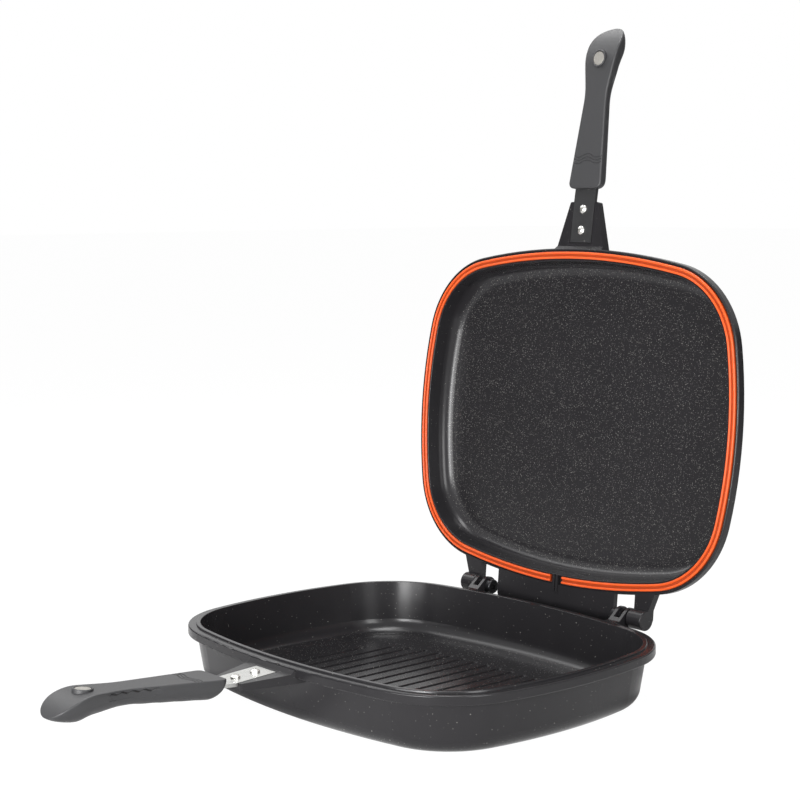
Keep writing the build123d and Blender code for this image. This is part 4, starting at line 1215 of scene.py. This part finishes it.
@dataclass
class Grip:
    """Moulded grip, flat on the face that meets the other grip, round at its back.

    Sizes are in millimetres. A station is a distance along the face from the collar.
    """

    body: Body
    start_from_rim: float = 57.9
    rise_at_start: float = 2.18
    tilt_deg: float = 4.74
    gap: float = 1.0
    standoff: float = 3.2
    straight: float = 118.5
    tip_bend: float = 48.0
    length: float = 161.5
    collar: tuple[float, float] = (20.4, 20.0)
    waist: tuple[float, float] = (13.3, 15.2)
    heel: tuple[float, float] = (19.6, 21.0)
    waist_at: float = 88.0
    heel_at: float = 136.0
    heel_power: float = 1.5
    swell_shifts: tuple[float, ...] = (-7.0, -3.5, 0.0, 3.5, 7.0)
    collar_corner: float = 6.0
    collar_back: float = 12.0
    collar_hub: float = 3.0
    tip_round: float = 27.0
    tip_width_power: float = 2.5
    tip_depth_power: float = 0.6
    tip_trim: float = 0.004
    edge: float = 1.3
    edge_most: float = 0.45
    scallops: int = 5
    scallop_pitch: float = 19.0
    scallop_start: float = 24.0
    scallop_radius: float = 36.0
    scallop_depth: float = 1.1
    scallop_blend: float = 0.1
    scallop_reach: float = 1.0
    screw_at: float = 28.0
    screw_bore: float = 4.1
    screw_seat: float = 3.1
    bore_depth: float = 24.0
    bore_segments: int = 40
    socket_size: tuple[float, float, float] = (27.2, 8.6, 3.6)
    magnet_at: float = 123.5
    magnet_radius: float = 6.5
    magnet_height: float = 4.0
    magnet_edge: float = 0.5
    magnet_recess: float = 0.4
    magnet_fit: float = 0.08
    boss_rise: float = 1.7
    boss_wall: float = 1.8
    boss_height: float = 5.0
    boss_edge: float = 0.7
    boss_edge_points: int = 5
    boss_points: int = 72
    collar_rows: int = 18
    tip_rows: int = 30
    row_step: float = 1.3
    fine_row_step: float = 0.65
    fine_margin: float = 3.0
    last_row_gap: float = 0.4
    face_points: int = 40
    edge_points: int = 6
    side_points: int = 22
    side_turn: float = 0.42
    back_points: int = 20
    side_margin: float = 0.01
    sharp_deg: float = 38.0
    thumb: ThumbRest = ThumbRest()
    waves: WavyGrooves = WavyGrooves()
    bracket: Bracket = Bracket()

    @property
    def away(self) -> int:
        """One where the grip leans away from the parting plane, minus one where toward it."""
        return -1 if self.body is Body.LOWER else 1

    @property
    def boss_top(self) -> float:
        """Depth of the magnet boss's top in the grip's frame."""
        return self.standoff - self.boss_rise

    def frame(self) -> Matrix:
        """Frame of the grip in the lower half's place.

        Returns:
            The frame in metres.
        """
        level = LAYOUT.parting - self.away * self.rise_at_start - self.gap / 2
        origin = (0.0, -LAYOUT.half_width - self.start_from_rim, level)
        return plane_matrix(origin, self.away * self.tilt_deg)

    def tongue_depth(self) -> float:
        """Depth of the tongue's middle in the grip's frame.

        Returns:
            The depth at the collar.
        """
        along = self.bracket.length + self.bracket.bend_past_tip
        bend = self.bracket.face() @ (Vector((0.0, along, self.bracket.tongue_middle)) * MM)
        return (self.frame().inverted() @ bend).z / MM

    def swell(self, station: float, part: int) -> float:
        """Half width or depth that falls to the waist and swells to the heel, eased between.

        Args:
            station: Distance along the face.
            part: Zero for the half width and one for the depth.

        Returns:
            The size at the station.
        """
        total = 0.0
        collar, waist, heel = self.collar[part], self.waist[part], self.heel[part]
        for shift in self.swell_shifts:
            at = min(max(station + shift, 0.0), self.length)
            if at <= self.waist_at:
                total += collar + (waist - collar) * (at / self.waist_at)
            else:
                share = min(1.0, (at - self.waist_at) / (self.heel_at - self.waist_at))
                rise = math.sin(share * math.pi / 2) ** self.heel_power
                total += waist + (heel - waist) * rise
        return total / len(self.swell_shifts)

    @staticmethod
    def corner_loss(station: float, radius: float) -> float:
        """How far a rounded end has drawn in at a station."""
        short = max(0.0, radius - station)
        return radius - math.sqrt(radius**2 - short**2)

    def sizes(self, station: float) -> tuple[float, float, float]:
        """Section at a station.

        Args:
            station: Distance along the face.

        Returns:
            Half width, depth, and how far the face has drawn in at the collar's end.
        """
        half = self.swell(station, 0) - self.corner_loss(station, self.collar_corner)
        depth = self.swell(station, 1) - self.corner_loss(station, self.collar_back)
        share = max(0.0, (station - self.length + self.tip_round) / self.tip_round)
        half *= math.sqrt(max(0.0, 1.0 - share**self.tip_width_power))
        trim = self.tip_trim * (share > 0.0)
        depth *= max(0.0, 1.0 - share**2) ** self.tip_depth_power - trim
        return half, max(0.0, depth), self.corner_loss(station, self.edge)

    def stations(self) -> list[float]:
        """Stations of the rows, close together at the rounded ends and along the thumb rest.

        Returns:
            Distances along the face, from the collar to near the tip.
        """
        turn, back, tip = math.pi / 2, self.collar_back, self.tip_round
        rows = [
            back * (1 - math.cos(step * turn / self.collar_rows))
            for step in range(self.collar_rows)
        ]
        station = back
        while station < self.length - tip - self.last_row_gap:
            rows.append(station)
            low, high = self.thumb.start - self.fine_margin, self.thumb.stop + self.fine_margin
            station += self.fine_row_step if low < station < high else self.row_step
        return rows + [
            self.length - tip * (1 - math.sin(step * turn / self.tip_rows))
            for step in range(self.tip_rows)
        ]

    def dip(self, station: float) -> float:
        """Depth of the finger scallops in the back.

        Args:
            station: Distance along the face.

        Returns:
            The depth at the station.
        """
        half_chord = math.sqrt(2 * self.scallop_radius * self.scallop_depth)
        deepest = 0.0
        for number in range(self.scallops):
            off = (station - self.scallop_start - number * self.scallop_pitch) / half_chord
            deepest = max(deepest, self.scallop_depth * (1 - off**2))
        return deepest

    def section(self, station: float) -> list[tuple[float, float, float]]:
        """Closed section at a station: across, depth from the face, and painted shade.

        Args:
            station: Distance along the face.

        Returns:
            Points from one face edge across the face, round the back and home again.
        """
        half, depth, drawn = self.sizes(station)
        edge = min(self.edge, self.edge_most * half, self.edge_most * (depth - drawn))
        inner, start = half - edge, drawn + edge
        face, quarter = self.face_points, math.pi / 2
        ring = [(-inner + 2 * inner * step / face, drawn) for step in range(face + 1)]
        bends = [step * quarter / self.edge_points for step in range(1, self.edge_points)]
        corner = [
            (inner + edge * math.sin(turn), drawn + edge * (1 - math.cos(turn)))
            for turn in bends
        ]
        side, back = self.side_points, self.back_points
        turns = [self.side_turn * step / side for step in range(side)]
        rest = quarter - self.side_turn
        turns += [self.side_turn + rest * step / back for step in range(back)]
        turns += [quarter] + [math.pi - turn for turn in reversed(turns)]
        ring += corner
        limit = depth - self.dip(station)
        for turn in turns:
            down = start + (depth - start) * math.sin(turn)
            over = down - limit
            if over > -self.scallop_reach:
                down -= 0.5 * (over + math.hypot(over, self.scallop_blend))
            ring.append((half * math.cos(turn), down))
        ring += [(-across, down) for across, down in reversed(corner)]
        points = []
        for across, down in ring:
            on_side = abs(across) > inner - self.side_margin
            cut, hollow = self.thumb.cut(station, down) if on_side else (0.0, 0.0)
            points.append((across - math.copysign(cut, across), down, min(1.0, hollow)))
        return points

    def on_face(self, station: float) -> tuple[float, float, float]:
        """Where the face runs.

        Args:
            station: Distance along the face.

        Returns:
            Distance outward, depth in the grip's frame, and the turn of the bent tip.
        """
        bent = max(0.0, station - self.straight) / self.tip_bend
        along = min(station, self.straight) + self.tip_bend * math.sin(bent)
        return along, self.standoff + self.tip_bend * (1 - math.cos(bent)), bent

    def blank(self) -> Mesh:
        """Skin of the grip in its own frame, before anything is cut in it.

        Returns:
            The closed mesh, in metres, with painted shade marked in its hollows.
        """
        points: list[tuple[float, float, float]] = []
        painted_shades: list[float] = []
        stations = self.stations()
        for station in stations:
            along, drop, bent = self.on_face(station)
            for across, down, hollow in self.section(station):
                outward = along - down * math.sin(bent)
                points.append((across, outward, drop + down * math.cos(bent)))
                painted_shades.append(hollow)
        count, last = len(points) // len(stations), len(stations) - 1
        collar, tip = len(points), len(points) + 1
        faces: list[tuple[int, ...]] = []
        for place in range(count):
            after = (place + 1) % count
            for row in range(0, last * count, count):
                upper = row + count
                faces.append((row + place, row + after, upper + after, upper + place))
            faces.append((after, place, collar))
            faces.append((last * count + place, last * count + after, tip))
        points.append((0.0, 0.0, self.standoff + self.edge + self.collar_hub))
        points.append((0.0, *self.on_face(self.length)[:2]))
        mesh = mesh_from(f"{self.body.value}_grip_blank", points, faces)
        # Painted shade for the thumb rest's recess and groove, read by the moulding's finish.
        layer = mesh.attributes.new(PAINTED_SHADE, "FLOAT", "POINT")
        layer.data.foreach_set("value", painted_shades + [0.0, 0.0])
        merge_doubles(mesh, MERGE_BLANK, outward=True)
        return mesh

    def bore(self, shape: NodeShape) -> Node:
        """Cutter of the screw's bore, from its seat out through the back.

        Args:
            shape: Tree that the nodes go into.

        Returns:
            The cutter's geometry.
        """
        seat = self.tongue_depth() + self.screw_seat
        rod = add_node(
            shape.tree, "GeometryNodeMeshCylinder", Vertices=self.bore_segments,
            Radius=shape.size("Bore Radius", self.screw_bore * MM), Depth=self.bore_depth * MM,
        )
        centre = Vector((0.0, self.screw_at, seat + self.bore_depth / 2)) * MM
        return add_node(shape.tree, "GeometryNodeTransform", Geometry=rod, Translation=centre)

    def socket(self, tree: NodeTree) -> Node:
        """Cutter of the tongue's socket at the collar.

        Args:
            tree: Tree that the nodes go into.

        Returns:
            The cutter's geometry.
        """
        block = add_node(tree, "GeometryNodeMeshCube", Size=Vector(self.socket_size) * MM)
        centre = Vector((0.0, 0.0, self.tongue_depth())) * MM
        return add_node(tree, "GeometryNodeTransform", Geometry=block, Translation=centre)

    def boss(self, shape: NodeShape) -> Node:
        """Ring around the magnet, round-edged, rooted in the grip's skin.

        Args:
            shape: Tree that the nodes go into.

        Returns:
            The ring's geometry.
        """
        tree = shape.tree
        wall = shape.size("Boss Wall", self.boss_wall * MM)
        inner = shape.size("Magnet Radius", (self.magnet_radius + self.magnet_fit) * MM)
        profile = add_node(
            tree, "GeometryNodeCurvePrimitiveQuadrilateral", Width=wall,
            Height=self.boss_height * MM,
        )
        rounded = add_node(
            tree, "GeometryNodeFilletCurve", mode="POLY", Curve=profile, Radius=self.boss_edge * MM,
            Count=self.boss_edge_points, Limit_Radius=True,
        )
        middle = chain(tree, wall, ("MULTIPLY", 0.5), ("ADD", inner))
        path = add_node(
            tree, "GeometryNodeCurvePrimitiveCircle", Resolution=self.boss_points, Radius=middle
        )
        ring = add_node(tree, "GeometryNodeCurveToMesh", Curve=path, Profile_Curve=rounded)
        centre = Vector((0.0, self.magnet_at, self.boss_top + self.boss_height / 2)) * MM
        return add_node(tree, "GeometryNodeTransform", Geometry=ring, Translation=centre)

    def build(self, finish: Finish, magnet_finish: Finish) -> None:
        """Make the grip and its magnet.

        Args:
            finish: What the grip is moulded in.
            magnet_finish: What the magnet is plated in.
        """
        body = self.body.value
        shape = NodeShape(f"{body}_grip_moulding")
        tree = shape.tree
        carved = add_node(
            tree, "GeometryNodeMeshBoolean", operation="DIFFERENCE", solver="EXACT",
            Mesh_1=shape.entry.outputs["Geometry"],
            Mesh_2=[self.waves.cutter(shape, self.standoff), self.bore(shape), self.socket(tree)],
        )
        whole = add_node(tree, "GeometryNodeJoinGeometry", [carved, self.boss(shape)])
        mesh = shape.finish(whole, finish.make(), self.blank(), self.sharp_deg)
        place = LAYOUT.place(self.body) @ self.frame()
        put(shape.name, mesh, place, self.body, [f"{body}_grip"])
        sizes = TurnedSizes(self.magnet_radius, self.magnet_height, 0.0, self.magnet_edge)
        disc = sizes.turn(f"{body}_magnet_disc", magnet_finish)
        seat = self.boss_top + self.magnet_recess + self.magnet_height
        seated = place @ Matrix.Translation(Vector((0.0, self.magnet_at, seat)) * MM)
        put(disc.name, disc, seated, self.body, [f"{body}_magnet"])


# ---------------------------------------------------------------- studio
def direction(azimuth_deg: float, elevation_deg: float) -> Vector:
    """Unit vector of an azimuth, measured from -Y toward +X, and an elevation."""
    turn, lift = math.radians(azimuth_deg), math.radians(elevation_deg)
    level = math.cos(lift)
    return Vector((math.sin(turn) * level, -math.cos(turn) * level, math.sin(lift)))


@dataclass(frozen=True)
class Lamp:
    """A soft rectangular lamp, turned to the pan.

    Azimuth is measured as the camera's, from -Y toward +X; sizes are in metres.
    """

    name: str
    azimuth_deg: float
    elevation_deg: float
    power: float
    width: float = 0.5
    tall: float = 1.0
    distance: float = 2.0

    def build(self, aim: Vector) -> None:
        """Hang the lamp and turn it to the aim.

        Args:
            aim: Point that the lamp faces.
        """
        data = bpy.data.lights.new(self.name, "AREA")
        data.shape = "RECTANGLE"
        data.size, data.size_y = self.width, self.tall
        data.energy = self.power
        lamp = bpy.data.objects.new(self.name, data)
        out = direction(self.azimuth_deg, self.elevation_deg)
        lamp.location = aim + out * self.distance
        lamp.rotation_euler = (-out).to_track_quat("-Z", "Y").to_euler()
        bpy.context.scene.collection.objects.link(lamp)


@dataclass(frozen=True)
class BrightSide:
    """A side on which the surroundings shine back at polished faces."""

    azimuth_deg: float
    half_width_deg: float
    soft_deg: float = 14.0


@dataclass
class Studio:
    """Pale floor, soft lamps and the camera; lengths in metres."""

    azimuth_deg: float = 48.746
    elevation_deg: float = 6.396
    roll_deg: float = -0.307
    distance: float = 1.58212
    shift_right: float = -0.012927
    shift_up: float = 0.158193
    target_height: float = 0.100
    sensor_mm: float = 36.0
    lens_mm: float = 80.28
    clip_end: float = 100.0
    floor_size: float = 40.0
    floor_colour: str = "#F2F2F2"
    floor_glow: float = 0.93
    glow_strength: float = 1.06
    aim: tuple[float, float, float] = (0.0, 0.05, 0.15)
    lamps: tuple[Lamp, ...] = (
        Lamp("front_wide", 2.0, 6.0, 15.0, width=0.8, tall=0.72),
        Lamp("front_strip", 21.0, 6.0, 32.0, width=0.6, tall=0.72),
        Lamp("right_box", 77.0, 18.0, 17.5, width=0.62), Lamp("left_high", -85.0, 38.0, 5.0),
        Lamp("rear_high", -120.0, 68.0, 13.0), Lamp("overhead", 0.0, 89.0, 18.0),
    )
    wall_sides: tuple[BrightSide, ...] = (BrightSide(225.0, 28.0), BrightSide(42.0, 72.0))
    floor_sides: tuple[BrightSide, ...] = (BrightSide(62.0, 50.0),)
    flagged: float = 0.08
    bright_above: tuple[float, float] = (0.26, 0.42)
    fill: float = 0.03

    def camera(self) -> None:
        """Place the camera and make it the scene's."""
        turn, roll = math.radians(self.azimuth_deg), math.radians(self.roll_deg)
        back = direction(self.azimuth_deg, self.elevation_deg)
        right = Vector((math.cos(turn), math.sin(turn), 0.0))
        up = back.cross(right)
        place = Vector((0.0, 0.0, self.target_height)) + back * self.distance
        place += right * self.shift_right + up * self.shift_up
        rolled_right = right * math.cos(roll) + up * math.sin(roll)
        rolled_up = up * math.cos(roll) - right * math.sin(roll)
        data = bpy.data.cameras.new("studio_camera")
        data.sensor_width = self.sensor_mm
        data.lens = self.lens_mm
        data.clip_end = self.clip_end
        camera = bpy.data.objects.new("studio_camera", data)
        turned = Matrix((rolled_right, rolled_up, back)).transposed().to_4x4()
        camera.matrix_world = Matrix.Translation(place) @ turned
        bpy.context.scene.collection.objects.link(camera)
        bpy.context.scene.camera = camera

    def floor(self) -> None:
        """Lay a pale floor that shows white to the camera and keeps the shadow."""
        mesh = bpy.data.meshes.new("floor")
        half = self.floor_size / 2
        corners = [(-half, -half, 0), (half, -half, 0), (half, half, 0), (-half, half, 0)]
        mesh.from_pydata(corners, [], [(0, 1, 2, 3)])
        floor = bpy.data.objects.new("floor", mesh)
        bpy.context.scene.collection.objects.link(floor)
        material = bpy.data.materials.new("matt_white_paper")
        tree = emptied_tree(material)
        paper = add_node(tree, "ShaderNodeBsdfDiffuse", Color=linear(self.floor_colour))
        glow = add_node(tree, "ShaderNodeEmission", Strength=self.glow_strength)
        place = add_node(tree, "ShaderNodeNewGeometry").outputs["Position"]
        shine = self.bright_from(tree, place, self.floor_sides)
        share = chain(tree, self.seen_rays(tree, shine), ("MULTIPLY", self.floor_glow))
        mixed = add_node(tree, "ShaderNodeMixShader", share, paper, glow)
        add_node(tree, "ShaderNodeOutputMaterial", Surface=mixed)
        mesh.materials.append(material)

    def bright_from(
        self, tree: NodeTree, place: NodeSocket, sides: Sequence[BrightSide]
    ) -> Node | float:
        """How brightly the surroundings shine back from each azimuth.

        Args:
            tree: Tree that the nodes go into.
            place: Vector that points from the pan to the surroundings.
            sides: Bright sides; between them it falls to the flagged level.

        Returns:
            A value from the flagged level to one.
        """
        vector = "ShaderNodeVectorMath"
        outward = chain(tree, place, ("MULTIPLY", (1.0, 1.0, 0.0)), ("NORMALIZE",), kind=vector)
        brightest: Node | float = self.flagged
        for side in sides:
            toward = direction(side.azimuth_deg, 0.0)
            low, high = (
                math.cos(math.radians(side.half_width_deg + soft))
                for soft in (side.soft_deg, -side.soft_deg)
            )
            bright = add_node(
                tree, "ShaderNodeMapRange",
                chain(tree, outward, ("DOT_PRODUCT", toward), kind=vector),
                interpolation_type="SMOOTHSTEP", From_Min=low, From_Max=high,
            )
            brightest = chain(tree, bright, ("MAXIMUM", brightest))
        return brightest

    def seen_rays(self, tree: NodeTree, shine: Node | float) -> Node:
        """One for camera rays, the shine for glossy and transmission rays, zero for the rest.

        Args:
            tree: Tree that the nodes go into.
            shine: What polished faces see.

        Returns:
            The share.
        """
        rays = add_node(tree, "ShaderNodeLightPath").outputs
        through = rays["Is Transmission Ray"]
        shone = chain(tree, rays["Is Glossy Ray"], ("MAXIMUM", through), ("MULTIPLY", shine))
        return chain(tree, rays["Is Camera Ray"], ("MAXIMUM", shone))

    def world(self) -> None:
        """White surroundings for the eye, and hardly any light from them."""
        world = bpy.data.worlds.new("studio")
        bpy.context.scene.world = world
        tree = emptied_tree(world)
        place = add_node(tree, "ShaderNodeTexCoord").outputs["Generated"]
        low, high = self.bright_above
        above = add_node(
            tree, "ShaderNodeMapRange", add_node(tree, "ShaderNodeSeparateXYZ", place).outputs["Z"],
            interpolation_type="SMOOTHSTEP", From_Min=low, From_Max=high,
        )
        around = self.bright_from(tree, place, self.wall_sides)
        seen = self.seen_rays(tree, chain(tree, above, ("MAXIMUM", around)))
        strength = add_node(tree, "ShaderNodeMapRange", seen, To_Min=self.fill)
        white = linear("#FFFFFF")
        sky = add_node(tree, "ShaderNodeBackground", Color=white, Strength=strength)
        add_node(tree, "ShaderNodeOutputWorld", Surface=sky)

    def build(self) -> None:
        """Set up camera, floor, world and lamps."""
        self.camera()
        self.floor()
        self.world()
        for lamp in self.lamps:
            lamp.build(Vector(self.aim))
        bpy.context.scene.view_settings.view_transform = "Standard"


def main() -> None:
    """Build and dress the pan piece by piece."""
    logging.basicConfig(level=logging.INFO, format="%(name)s: %(message)s")
    Studio().build()
    Castings().build()
    HandleTongues().build()
    BracketScrews().build(BRIGHT_SCREW)
    SealRing().build(SILICONE)
    for body in Body:
        Grip(body).build(PHENOLIC, MAGNET_NICKEL)
    HingeHardware().build()


if __name__ == "__main__":
    main()
